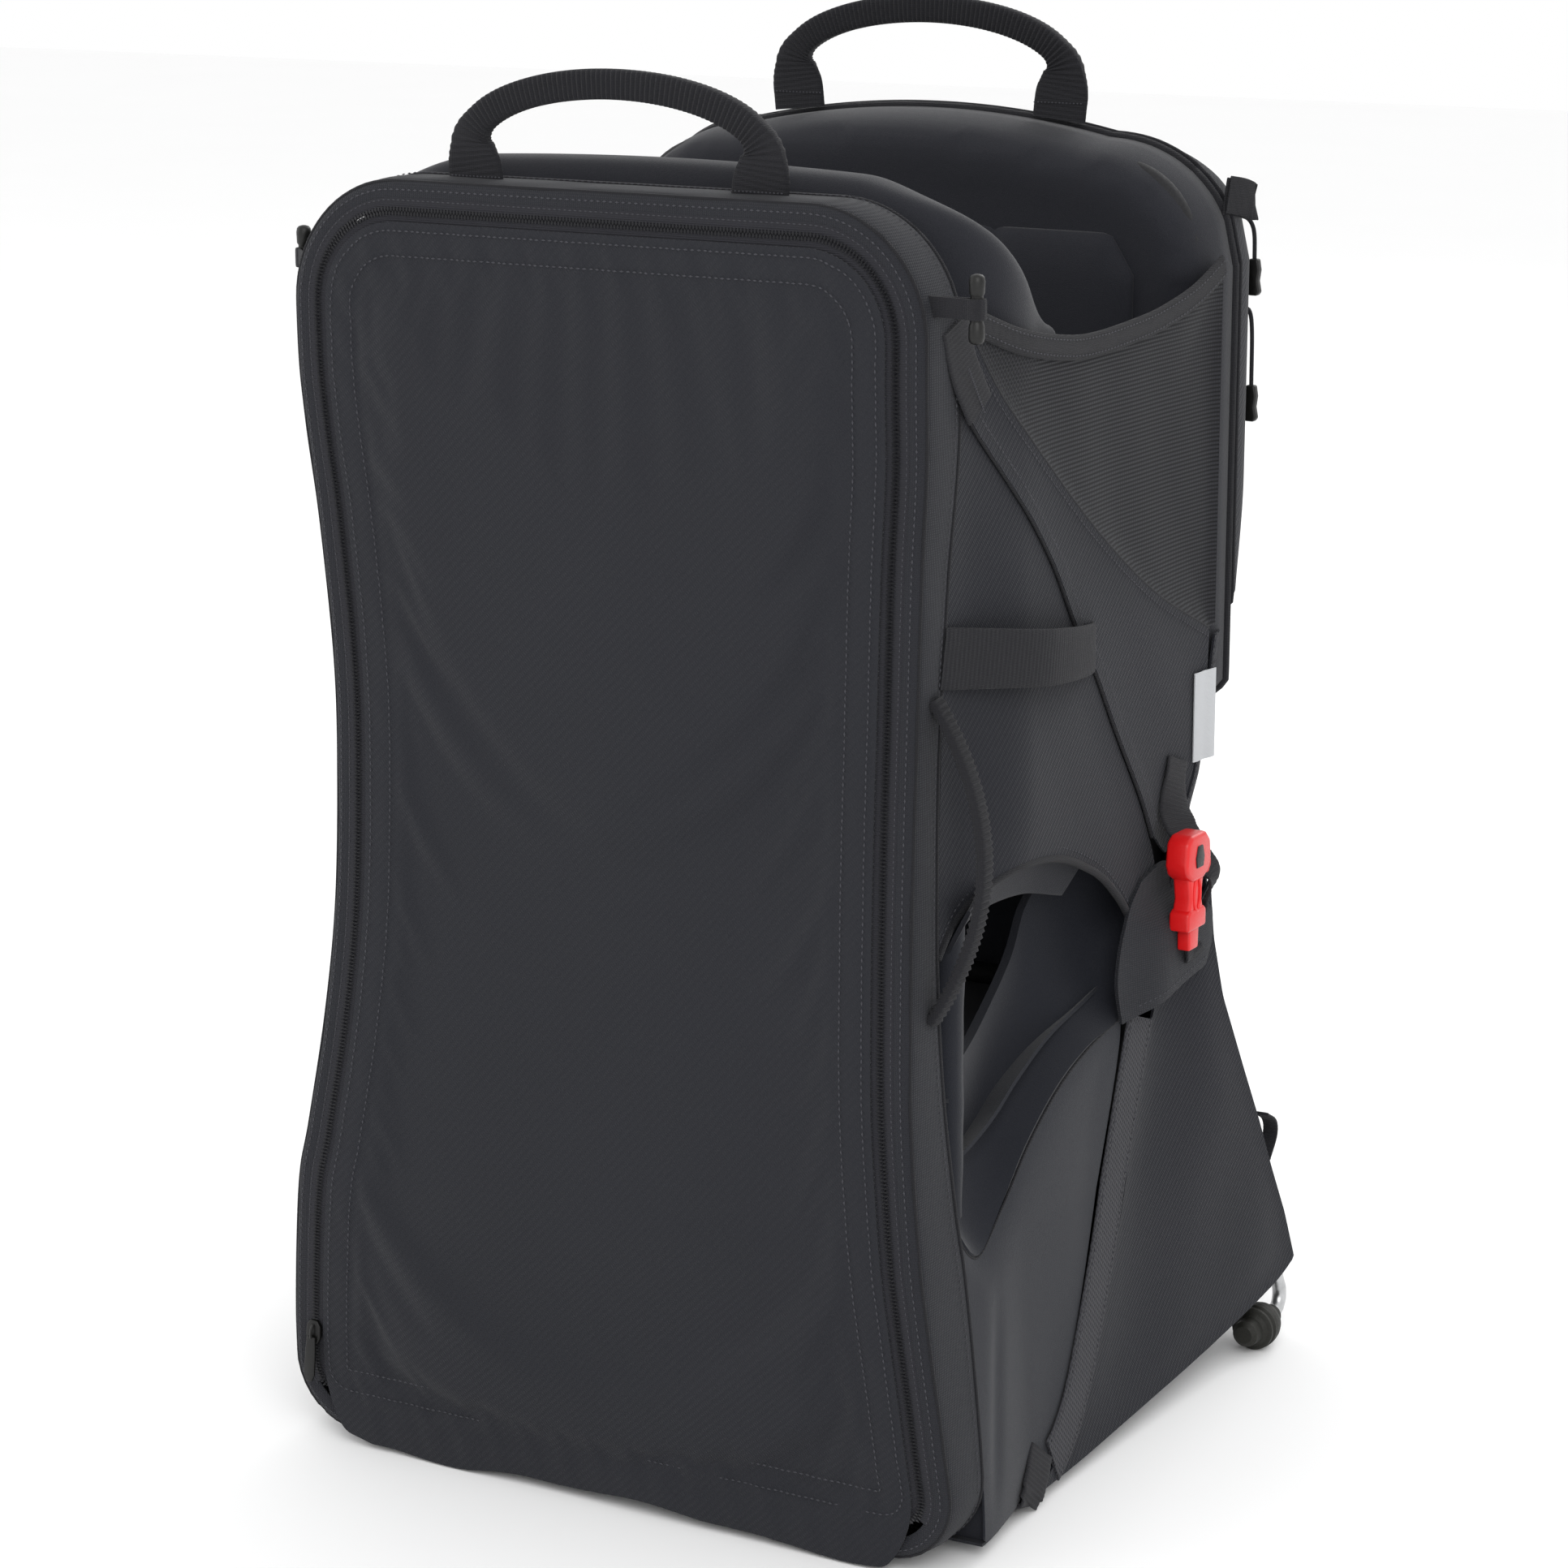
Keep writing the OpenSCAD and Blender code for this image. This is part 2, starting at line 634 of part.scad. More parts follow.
// Cord pull with a moulded end, hanging from a slider.
module rear_pull(z, length) {
    aside = 12;
    color(plastic_black) translate([rear_zip_x - 4, pocket_y + 10, z]) {
        rotate([0, 90, 0]) cylinder(h = aside, d = 3.2, $fn = 32);
        translate([aside, 0, 0]) {
            sphere(d = 3.2, $fn = 32);
            translate([0, 0, -length + 20]) cylinder(h = length - 20, d = 3.2, $fn = 32);
            block([-4, -3.2, -length], [4, 3.2, -length + 20]);
        }
    }
}

module labels() {
    color("#d8dadc") on_side(1) block([183.2, 121, 356], [184.8, 123, 392]);
    color(webbing_black) on_side(1) block([183.4, 138, 640], [185, 158, 662]);
    color("#d8dadc") for (s = [1, -1]) on_side(s) slab_x(side_out + 0.1, side_out + 0.7)
        polygon([[-8, 329], [6, 329], [-1, 342]]);
}

// ---------- drawing ----------

back_frame_tube();
seat_hoop_tube();
crossbars();
base_brackets();
stand_bracket(1);  // stand_bracket_left
stand_bracket(-1);  // stand_bracket_right
frame_fasteners();
front_foot(1);  // front_foot_left
front_foot(-1);  // front_foot_right
back_board();
back_pads();
shoulder_strap(1);  // shoulder_strap_left
shoulder_strap(-1);  // shoulder_strap_right
hip_belt(1);  // hip_belt_left
hip_belt(-1);  // hip_belt_right
hip_buckle();
harness_gusset();
zipper_outer();
front_pad();
rear_wall();
rear_pocket();
rear_lower_panel();
seat_back_pad();
side_mesh(1);  // side_mesh_left
side_mesh(-1);  // side_mesh_right
side_wing(1);  // side_wing_left
side_wing(-1);  // side_wing_right
front_side(1);  // front_side_left
front_side(-1);  // front_side_right
lower_side(1);  // lower_side_left
lower_side(-1);  // lower_side_right
leg_pads();
edge_tapes();
side_grips();
side_straps();
hinge_flaps();
storage_bag();
buckle_socket(1);  // buckle_socket_left
buckle_socket(-1);  // buckle_socket_right
labels();
rear_zippers();
harness_cover();
zipper_inner();
cover_slider();
front_handle();
rear_handle();
toggle(1);  // toggle_left
toggle(-1);  // toggle_right
buckle_plug(1);  // buckle_plug_left
buckle_plug(-1);  // buckle_plug_right
stand_rod();
stand_foot(1);  // stand_foot_left
stand_foot(-1);  // stand_foot_right
rear_slider(rear_zip_z[0]);  // rear_slider_upper
rear_slider(rear_zip_z[1]);  // rear_slider_lower
rear_pull(rear_zip_z[0], 42);  // rear_pull_upper
rear_pull(rear_zip_z[1], 62);  // rear_pull_lower
seat_saddle();
child_harness();
harness_buckle();
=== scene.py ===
"""The looks of a framed child carrier backpack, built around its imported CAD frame.

Lengths are in millimetres in the row frame (x across, y front to back, z up) and turn into metres
where a mesh is made. The left side (x > 0) is described, and the right side mirrors it.
"""

import json
import math

import bpy
import numpy as np
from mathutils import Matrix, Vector
from mathutils.geometry import delaunay_2d_cdt


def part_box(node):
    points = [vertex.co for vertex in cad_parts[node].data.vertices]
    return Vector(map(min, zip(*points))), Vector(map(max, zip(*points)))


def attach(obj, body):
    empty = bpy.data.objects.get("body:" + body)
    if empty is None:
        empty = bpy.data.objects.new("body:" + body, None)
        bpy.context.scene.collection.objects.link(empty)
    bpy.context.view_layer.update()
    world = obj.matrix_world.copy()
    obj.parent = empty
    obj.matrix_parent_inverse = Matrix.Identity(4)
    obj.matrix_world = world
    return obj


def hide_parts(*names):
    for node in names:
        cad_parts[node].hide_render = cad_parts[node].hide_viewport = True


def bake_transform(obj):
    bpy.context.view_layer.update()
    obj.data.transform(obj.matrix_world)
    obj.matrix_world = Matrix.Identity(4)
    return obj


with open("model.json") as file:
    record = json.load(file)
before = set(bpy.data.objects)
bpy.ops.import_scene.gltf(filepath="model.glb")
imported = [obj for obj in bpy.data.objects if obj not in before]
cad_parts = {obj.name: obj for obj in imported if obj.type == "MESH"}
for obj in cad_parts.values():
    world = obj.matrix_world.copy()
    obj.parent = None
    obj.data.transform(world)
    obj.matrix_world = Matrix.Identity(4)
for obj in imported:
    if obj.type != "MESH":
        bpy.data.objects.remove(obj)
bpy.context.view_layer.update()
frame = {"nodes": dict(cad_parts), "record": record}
MM = 0.001

# ---------- camera ----------

PHOTO_PX = 1932
FOCAL_PX = 5109.2
AZIMUTH, ELEVATION = math.radians(30.248), math.radians(13.617)
TARGET = Vector((-0.00636, -0.020, 0.34634))
DISTANCE = 2.25


def add_camera():
    data = bpy.data.cameras.new("camera")
    data.sensor_width = 36
    data.lens = FOCAL_PX / PHOTO_PX * data.sensor_width
    cam = bpy.data.objects.new("camera", data)
    bpy.context.scene.collection.objects.link(cam)
    back = Vector((math.sin(AZIMUTH) * math.cos(ELEVATION),
                   -math.cos(AZIMUTH) * math.cos(ELEVATION), math.sin(ELEVATION)))
    cam.location = TARGET + back * DISTANCE
    cam.rotation_mode = "QUATERNION"
    cam.rotation_quaternion = (-back).to_track_quat("-Z", "Y")
    bpy.context.scene.camera = cam


add_camera()

# ---------- materials ----------


class Shader:
    """A node material with short ways to wire its nodes."""

    def __init__(self, name, **fixed):
        self.mat = bpy.data.materials.new(name)
        self.mat.use_nodes = True
        self.tree = self.mat.node_tree
        self.out = self.tree.nodes["Principled BSDF"]
        for key, value in fixed.items():
            self.out.inputs[key.replace("_", " ")].default_value = value
        place = self.tree.nodes.new("ShaderNodeTexCoord")
        split = self.tree.nodes.new("ShaderNodeSeparateXYZ")
        self.tree.links.new(place.outputs["Object"], split.inputs[0])
        self.where = place.outputs["Object"]
        self.x, self.y, self.z = split.outputs

    def feed(self, socket, value):
        if isinstance(value, bpy.types.NodeSocket):
            self.tree.links.new(value, socket)
        else:
            socket.default_value = value

    def math(self, how, a, b=0.0, c=0.0):
        n = self.tree.nodes.new("ShaderNodeMath")
        n.operation = how
        for socket, value in zip(n.inputs, (a, b, c)):
            self.feed(socket, value)
        return n.outputs[0]

    def wave(self, value, period):
        """0 to 1 and back once in every period of value."""
        turn = self.math("MULTIPLY", value, 2 * math.pi / period)
        return self.math("MULTIPLY_ADD", self.math("SINE", turn), 0.5, 0.5)

    def noise(self, scale, detail=2.0):
        n = self.tree.nodes.new("ShaderNodeTexNoise")
        n.inputs["Scale"].default_value = scale
        n.inputs["Detail"].default_value = detail
        self.tree.links.new(self.where, n.inputs["Vector"])
        return n.outputs["Fac"]

    def edges(self):
        """Brighter on worn outer edges."""
        geo = self.tree.nodes.new("ShaderNodeNewGeometry")
        return self.span(geo.outputs["Pointiness"], 0.5, 0.62, 0.0, 1.0)

    def span(self, value, low, high, out_low, out_high):
        n = self.tree.nodes.new("ShaderNodeMapRange")
        self.feed(n.inputs[0], value)
        for i, limit in enumerate((low, high, out_low, out_high)):
            n.inputs[i + 1].default_value = limit
        return n.outputs[0]

    def mix(self, factor, a, b):
        n = self.tree.nodes.new("ShaderNodeMix")
        n.data_type = "RGBA"
        self.feed(n.inputs["Factor"], factor)
        self.feed(n.inputs[6], a)
        self.feed(n.inputs[7], b)
        return n.outputs[2]

    def bump(self, height, distance, strength=1.0):
        n = self.tree.nodes.new("ShaderNodeBump")
        n.inputs["Distance"].default_value = distance
        n.inputs["Strength"].default_value = strength
        self.tree.links.new(height, n.inputs["Height"])
        self.tree.links.new(n.outputs[0], self.out.inputs["Normal"])


def rgb(r, g, b):
    """Linear colour from display values 0 to 255."""
    return tuple((c / 255) ** 2.2 for c in (r, g, b)) + (1.0,)


def weave_height(s, pattern, period):
    across = s.math("ADD", s.x, s.y)
    if pattern == "twill":
        fine = s.wave(s.math("ADD", across, s.z), period)
        return s.math("MULTIPLY", fine, s.wave(s.math("SUBTRACT", across, s.z), period * 2.6))
    if pattern == "plain":
        return s.math("MULTIPLY", s.wave(across, period), s.wave(s.z, period))
    if pattern == "rows":
        return s.math("MULTIPLY", s.wave(s.z, period), s.span(s.wave(across, period * 0.7), 0, 1, 0.7, 1))
    if pattern == "diamond":
        one = s.wave(s.math("ADD", across, s.z), period)
        other = s.wave(s.math("SUBTRACT", across, s.z), period)
        return s.math("MAXIMUM", one, other)
    return s.noise(2200, 4)


def fabric(name, colour, pattern, period, contrast=0.25, depth=0.0004, rough=(0.74, 0.9), sheen=0.05):
    s = Shader(name, Sheen_Weight=sheen, Sheen_Roughness=0.45, Specular_IOR_Level=0.3)
    height = weave_height(s, pattern, period)
    broad = s.noise(9, 3)
    fuzz = s.noise(1500, 3)
    dark = tuple(c * (1 - contrast) for c in colour[:3]) + (1.0,)
    light = tuple(c * (1 + contrast) for c in colour[:3]) + (1.0,)
    shade = s.math("MULTIPLY_ADD", broad, 0.35, s.math("MULTIPLY_ADD", height, 0.45,
                                                       s.math("MULTIPLY", fuzz, 0.3)))
    s.feed(s.out.inputs["Base Color"], s.mix(s.span(shade, 0.2, 0.95, 0, 1), dark, light))
    s.feed(s.out.inputs["Roughness"], s.span(fuzz, 0.3, 0.7, *rough))
    s.bump(s.math("MULTIPLY_ADD", fuzz, 0.4, height), depth)
    return s.mat


def mesh_fabric():
    """Fine horizontal rows that open into a diamond net towards the front upper corner."""
    s = Shader("side_mesh_fabric", Sheen_Weight=0.05, Sheen_Roughness=0.4, Specular_IOR_Level=0.3)
    rows = weave_height(s, "rows", 0.0022)
    net = weave_height(s, "diamond", 0.0034)
    corner = s.span(s.math("SUBTRACT", s.math("MULTIPLY", s.z, 0.75), s.y), 0.545, 0.565, 0, 1)
    height = s.math("ADD", s.math("MULTIPLY", rows, s.math("SUBTRACT", 1.0, corner)),
                    s.math("MULTIPLY", s.span(net, 0.75, 0.9, 0.05, 1), corner))
    colour = s.mix(height, rgb(15, 15, 18), rgb(38, 39, 44))
    s.feed(s.out.inputs["Base Color"], s.mix(s.span(s.noise(14), 0.3, 0.7, 0, 0.25), colour, rgb(23, 23, 27)))
    s.feed(s.out.inputs["Roughness"], s.span(rows, 0, 1, 0.9, 0.7))
    s.bump(height, 0.0005)
    return s.mat


def moulded(name, colour, rough=(0.35, 0.5), coat=0.0, grain=0.00008):
    s = Shader(name, Coat_Weight=coat, Coat_Roughness=0.3, Specular_IOR_Level=0.35)
    worn = tuple(min(1, c * 1.5 + 0.02) for c in colour[:3]) + (1.0,)
    cloud = s.noise(60, 3)
    base = s.mix(s.span(cloud, 0.3, 0.7, 0, 0.35), colour, tuple(c * 0.8 for c in colour[:3]) + (1.0,))
    s.feed(s.out.inputs["Base Color"], s.mix(s.math("MULTIPLY", s.edges(), 0.35), base, worn))
    s.feed(s.out.inputs["Roughness"], s.span(s.noise(700, 2), 0.3, 0.7, *rough))
    s.bump(s.noise(1800, 3), grain)
    return s.mat


def drawn_metal(name, colour):
    s = Shader(name, Metallic=1.0)
    streak = s.noise(240, 4)
    s.feed(s.out.inputs["Base Color"], s.mix(s.span(streak, 0.3, 0.7, 0, 0.4), colour,
                                             tuple(c * 0.7 for c in colour[:3]) + (1.0,)))
    s.feed(s.out.inputs["Roughness"], s.span(streak, 0.3, 0.7, 0.28, 0.42))
    s.bump(s.noise(900, 3), 0.00004)
    return s.mat


COVER = fabric("cover_twill", rgb(33, 34, 39), "twill", 0.0019, contrast=0.14, depth=0.00025)
GUSSET = fabric("gusset_fabric", rgb(35, 36, 41), "plain", 0.0012, contrast=0.14)
SIDE = fabric("side_fabric", rgb(30, 31, 37), "twill", 0.0018, contrast=0.15, depth=0.0003)
LINING = fabric("brushed_lining", rgb(29, 30, 36), "felt", 0.001, contrast=0.12, depth=0.0002, sheen=0.12)
SEAT_CLOTH = fabric("seat_cloth", rgb(26, 28, 35), "felt", 0.001, contrast=0.12, depth=0.0002, sheen=0.12)
BINDING = fabric("binding_tape", rgb(30, 30, 34), "plain", 0.0009, contrast=0.2)
WEB = fabric("webbing", rgb(33, 33, 37), "plain", 0.0008, contrast=0.25, depth=0.0003)
BRAID = fabric("herringbone_tape", rgb(48, 48, 52), "diamond", 0.0034, contrast=0.5, depth=0.0006)
THREAD = fabric("sewing_thread", rgb(74, 74, 80), "plain", 0.0005, contrast=0.2)
TAPE = fabric("zipper_tape", rgb(40, 40, 45), "rows", 0.0011, contrast=0.25)
NET = mesh_fabric()
AIR_MESH = fabric("air_mesh", rgb(30, 30, 34), "diamond", 0.0042, contrast=0.45, depth=0.0009)
LABEL = fabric("woven_label", rgb(205, 207, 210), "plain", 0.0006, contrast=0.06)
ACCENT = fabric("tag_edge", rgb(190, 176, 74), "plain", 0.0006, contrast=0.1)
COIL = moulded("zipper_coil", rgb(30, 30, 33), rough=(0.4, 0.55))
PLASTIC = moulded("black_plastic", rgb(15, 15, 14))
RED = moulded("red_plastic", rgb(206, 26, 28), rough=(0.28, 0.4), coat=0.2)
RUBBER = moulded("black_rubber", rgb(32, 32, 28), rough=(0.55, 0.7), grain=0.00015)
METAL = drawn_metal("bare_aluminium", rgb(196, 197, 198))
COATED = moulded("coated_tube", rgb(22, 22, 25), rough=(0.6, 0.75), grain=0.00005)

# ---------- mesh tools ----------


def unit(v):
    return v / np.maximum(np.linalg.norm(v, axis=-1, keepdims=True), 1e-9)


def ease(t):
    t = np.clip(t, 0, 1)
    return t * t * (3 - 2 * t)


def resample(line, step, closed=False):
    p = np.array(line, float)
    if closed:
        p = np.vstack([p, p[:1]])
    s = np.concatenate([[0], np.cumsum(np.linalg.norm(np.diff(p, axis=0), axis=1))])
    t = np.linspace(0, s[-1], max(2, round(s[-1] / step)) + 1)
    out = np.stack([np.interp(t, s, p[:, k]) for k in range(p.shape[1])], 1)
    return out[:-1] if closed else out


def points(x, y, z):
    """Points from three coordinates, each a line of numbers or one number for all."""
    return np.stack(np.broadcast_arrays(x, y, z), 1).astype(float)


def curve(through, step=4.0):
    """A smooth line through the points, in equal steps."""
    p = np.array(through, float)
    p = np.vstack([2 * p[0] - p[1], p, 2 * p[-1] - p[-2]])
    t = np.linspace(0, 1, 12, endpoint=False)[:, None]
    parts = []
    for a, b, c, d in zip(p, p[1:], p[2:], p[3:]):
        parts.append(0.5 * (2 * b + (c - a) * t + (2 * a - 5 * b + 4 * c - d) * t ** 2
                            + (3 * b - a - 3 * c + d) * t ** 3))
    return resample(np.vstack(parts + [p[-2:-1]]), step)


def smooth_table(through):
    """A smooth line as two columns, for np.interp."""
    line = curve(through, 2.0)
    return line[:, 0], line[:, 1]


def evenly(line, count):
    """The line again, as a number of equally spaced points."""
    p = np.array(line, float)
    s = np.concatenate([[0], np.cumsum(np.linalg.norm(np.diff(p, axis=0), axis=1))])
    t = np.linspace(0, s[-1], count)
    return np.stack([np.interp(t, s, p[:, k]) for k in range(p.shape[1])], 1)


def tangents(path, closed=False):
    if closed:
        return unit(np.roll(path, -1, 0) - np.roll(path, 1, 0))
    return unit(np.gradient(path, axis=0))


def line_distance(spots, line):
    """Distance from each spot to a line of points."""
    best = np.full(len(spots), 1e9)
    for p, q in zip(line, line[1:]):
        d = q - p
        t = np.clip(((spots - p) @ d) / max(d @ d, 1e-9), 0, 1)
        best = np.minimum(best, np.linalg.norm(spots - p - t[:, None] * d, axis=1))
    return best


def edge_distance(spots, edge):
    return line_distance(spots, np.vstack([edge, edge[:1]]))


def inside(spots, edge):
    odd = np.zeros(len(spots), bool)
    for p, q in zip(edge, np.roll(edge, -1, 0)):
        crosses = (p[1] > spots[:, 1]) != (q[1] > spots[:, 1])
        with np.errstate(divide="ignore", invalid="ignore"):
            at = (q[0] - p[0]) * (spots[:, 1] - p[1]) / (q[1] - p[1]) + p[0]
        odd ^= crosses & (spots[:, 0] < at)
    return odd


def triangulate(edge, step, rings=()):
    """Fills a closed outline with triangles. Each ring is a distance from the edge with its own row of points."""
    lo, hi = edge.min(0), edge.max(0)
    row_step = step * 0.866
    grid = np.array([(x + (step / 2 if j % 2 else 0), y) for j, y in enumerate(np.arange(lo[1], hi[1], row_step))
                     for x in np.arange(lo[0], hi[0], step)])
    clear = max(rings, default=0) + 0.6 * step
    keep = inside(grid, edge) & (edge_distance(grid, edge) > clear)
    t = tangents(edge, closed=True)
    inward = np.stack([-t[:, 1], t[:, 0]], 1)
    if not inside(edge[:1] + inward[:1] * 0.5, edge)[0]:
        inward = -inward
    rows = []
    for reach in rings:
        row = edge + inward * reach
        rows.append(row[inside(row, edge) & (edge_distance(row, edge) > 0.93 * reach)])
    points = np.vstack([edge] + rows + [grid[keep]])
    out = delaunay_2d_cdt([Vector(p) for p in points], [], [list(range(len(edge)))], 1, 1e-5)
    return np.array([tuple(p) for p in out[0]]), [list(f) for f in out[2]]


def mesh_object(name, verts, faces, material):
    data = bpy.data.meshes.new(name)
    data.from_pydata((np.array(verts) * MM).tolist(), [], faces)
    data.validate()
    data.update()
    data.materials.append(material)
    data.polygons.foreach_set("use_smooth", [True] * len(data.polygons))
    data.set_sharp_from_angle(angle=math.radians(55))
    obj = bpy.data.objects.new(name, data)
    bpy.context.scene.collection.objects.link(obj)
    return obj


def bake(obj):
    """Turns the object's modifiers into its mesh."""
    deps = bpy.context.evaluated_depsgraph_get()
    data = bpy.data.meshes.new_from_object(obj.evaluated_get(deps))
    obj.modifiers.clear()
    obj.data = data
    return obj


def thicken(obj, thickness, offset=0.0):
    mod = obj.modifiers.new("thickness", "SOLIDIFY")
    mod.thickness = thickness * MM
    mod.offset = offset
    bake(obj)
    obj.data.set_sharp_from_angle(angle=math.radians(55))
    return obj


def subdivide(obj, levels=1):
    mod = obj.modifiers.new("smooth", "SUBSURF")
    mod.levels = mod.render_levels = levels
    return bake(obj)


def settle(obj, body, nodes=()):
    """Rides a finished piece on its body and hides the imported parts it stands in for."""
    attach(obj, body)
    if nodes:
        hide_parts(*nodes)
    return obj


def panel(name, edge, place, material, step=5.0, thick=1.2):
    """A sewn panel. place turns (u, v, distance from the edge) into points."""
    flat, faces = triangulate(np.array(edge, float), step)
    spots = place(flat[:, 0], flat[:, 1], edge_distance(flat, np.array(edge, float)))
    return thicken(mesh_object(name, np.stack(spots, 1), faces, material), thick)


def cushion(name, edge, place, material, step=6.0):
    """A closed pad. place takes (u, v, distance from the edge, face), with face 1 in front and -1 behind."""
    edge = np.array(edge, float)
    flat, faces = triangulate(edge, step, rings=(0.7, 2.2, 4.6, 8))
    d = edge_distance(flat, edge)
    front = np.stack(place(flat[:, 0], flat[:, 1], d, 1.0), 1)
    back = np.stack(place(flat[:, 0], flat[:, 1], d, -1.0), 1)
    rim = d < 1e-3
    index = np.where(rim, np.arange(len(flat)), 0)
    index[~rim] = len(flat) + np.arange((~rim).sum())
    verts = np.vstack([front, back[~rim]])
    return mesh_object(name, verts, faces + [[int(index[i]) for i in reversed(f)] for f in faces], material)


def grid_sheet(name, grid, material, thick):
    """A sheet through rows of points."""
    rows, n = grid.shape[:2]
    faces = [[i * n + j, i * n + j + 1, (i + 1) * n + j + 1, (i + 1) * n + j]
             for i in range(rows - 1) for j in range(n - 1)]
    return thicken(mesh_object(name, grid.reshape(-1, 3), faces, material), thick)


def pad(name, edge, place, material, step, body="carrier", nodes=()):
    """A cushion that rides on a body."""
    obj = settle(cushion(name, edge, place, material, step), body, nodes)


def sewn(obj, extent):
    """Works out, from extent (a width and length) and the piece's area, the size a sheet was cut to before it was
    sewn in; nothing keeps the result, and the piece comes back unchanged.
    """
    width, length = (side * MM for side in extent)
    area = sum(p.area for p in obj.data.polygons) / 2
    grow = max(1.0, math.sqrt(area / (width * length)))
    width, length = width * grow, length * grow
    width = min(width, area / 0.31 / length)
    return obj


def sewn_panel(name, edge, place, material, node, thick=1.2):
    """A panel of the carrier's side, sewn to its neighbours."""
    piece = settle(panel(name, edge, place, material, 5.0, thick), "carrier", [node])
    sewn(piece, np.ptp(edge, axis=0))


def crown(d, radius):
    """Height, 0 to 1, of a stuffed piece at distance d from its seam."""
    return np.sqrt(1 - (1 - np.clip(d / radius, 0, 1)) ** 2)


def sweep(name, path, across, up, profile, material, closed=False, hollow=False):
    """Carries a profile of (across, up) offsets along a path; hollow leaves the profile an open sheet.

    across and up are one direction, or one for each point of the path.
    """
    n, k = len(path), profile.shape[-2]
    shape = np.broadcast_to(profile, (n, k, 2))
    across, up = (np.broadcast_to(np.array(v, float), (n, 3))[:, None] for v in (across, up))
    rings = path[:, None] + shape[..., :1] * across + shape[..., 1:] * up
    faces = []
    for i in range(n if closed else n - 1):
        a, b = i * k, ((i + 1) % n) * k
        for j in range(k - 1 if hollow else k):
            m = (j + 1) % k
            faces.append([a + j, a + m, b + m, b + j])
    if not closed and not hollow:
        faces += [list(range(k))[::-1], [(n - 1) * k + j for j in range(k)]]
    return mesh_object(name, rings.reshape(-1, 3), faces, material)


def rounded(width, thick, power=4.0, k=16):
    """A flat rounded section, width across and thick up."""
    a = np.linspace(0, 2 * math.pi, k, endpoint=False)
    c, s = np.cos(a), np.sin(a)
    return np.stack([width / 2 * np.sign(c) * np.abs(c) ** (2 / power),
                     thick / 2 * np.sign(s) * np.abs(s) ** (2 / power)], 1)


def tube(name, path, radius, material, closed=False):
    path = np.array(path, float)
    t = tangents(path, closed)
    guide = np.where(np.abs(t[:, :1]) < 0.8, [[1.0, 0, 0]], [[0, 1.0, 0]])
    across = unit(np.cross(t, guide))
    return sweep(name, path, across, np.cross(t, across), rounded(2 * radius, 2 * radius, 2, 8), material,
                 closed)


def webbing(name, path, across, width, thick, material=None, rib=2.6, depth=0.12):
    """Woven strap with ribs across it. width and thick are numbers or one value for each point."""
    path = np.array(path, float)
    fine = resample(path, rib / 4)
    ratio = np.linspace(0, 1, len(fine))
    old = np.concatenate([[0], np.cumsum(np.linalg.norm(np.diff(path, axis=0), axis=1))])
    old /= old[-1]

    def along(v):
        v = np.broadcast_to(np.array(v, float), (len(path),) + np.shape(v)[1:]
                            if np.ndim(v) > 1 else (len(path),))
        if v.ndim == 1:
            return np.interp(ratio, old, v)
        return np.stack([np.interp(ratio, old, v[:, c]) for c in range(3)], 1)

    side = np.array(across, float)
    side = unit(along(side) if side.ndim == 2 else np.tile(side, (len(fine), 1)))
    t = tangents(fine)
    side = unit(side - (side * t).sum(1, keepdims=True) * t)
    swell = 1 + depth * np.cos(np.arange(len(fine)) * math.pi / 2)
    base = rounded(1, 1, 5, 14)
    profile = base[None] * np.stack([along(width) * (1 + 0.01 * (swell - 1)), along(thick) * swell], 1)[:,
                                                                                                        None]
    return sweep(name, fine, side, np.cross(t, side), profile, material or WEB)


def beads(name, centres, along, up, size, material):
    """Small rounded grains: stitches or zipper teeth. size is half-length, half-width and half-height."""
    centres = np.array(centres, float)
    along, up = (np.broadcast_to(np.array(v, float), centres.shape) for v in (along, up))
    side = np.cross(along, up)
    corners = np.array([(1, 0, 0), (0, 1, 0), (-1, 0, 0), (0, -1, 0), (0, 0, 1), (0, 0, -1)], float) * size
    verts = (centres[:, None] + corners[None, :, :1] * along[:, None] + corners[None, :, 1:2] * side[:, None]
             + corners[None, :, 2:] * up[:, None]).reshape(-1, 3)
    one = [(0, 1, 4), (1, 2, 4), (2, 3, 4), (3, 0, 4), (1, 0, 5), (2, 1, 5), (3, 2, 5), (0, 3, 5)]
    faces = [[6 * i + a for a in f] for i in range(len(centres)) for f in one]
    return mesh_object(name, verts, faces, material)


def stitches(name, path, up, body, pitch=3.6, width=0.5):
    """A row of thread along a path, standing a little out of the cloth."""
    spots = resample(path, pitch)
    t = tangents(spots)
    up = np.array(up, float)
    if up.ndim == 2:
        up = unit(up[np.linspace(0, len(up) - 1, len(spots)).astype(int)])
    return settle(beads(name, spots + up * 0.25, t, up, (pitch * 0.36, width, width * 0.8), THREAD), body)


def lathe(name, origin, axis, profile, material, turns=32):
    """Turns a profile of (distance along the axis, radius) about the axis."""
    axis = unit(np.array(axis, float))
    guide = np.array([0, 0, 1.0]) if abs(axis[2]) < 0.9 else np.array([1.0, 0, 0])
    u = unit(np.cross(axis, guide))
    v = np.cross(axis, u)
    a = np.linspace(0, 2 * math.pi, turns, endpoint=False)
    round_ = np.cos(a)[:, None] * u + np.sin(a)[:, None] * v
    rings = [np.array(origin) + d * axis + r * round_ for d, r in profile]
    faces = [[i * turns + j, i * turns + (j + 1) % turns, (i + 1) * turns + (j + 1) % turns,
              (i + 1) * turns + j]
             for i in range(len(rings) - 1) for j in range(turns)]
    last = (len(rings) - 1) * turns
    faces += [list(range(turns))[::-1], [last + j for j in range(turns)]]
    return mesh_object(name, np.vstack(rings), faces, material)


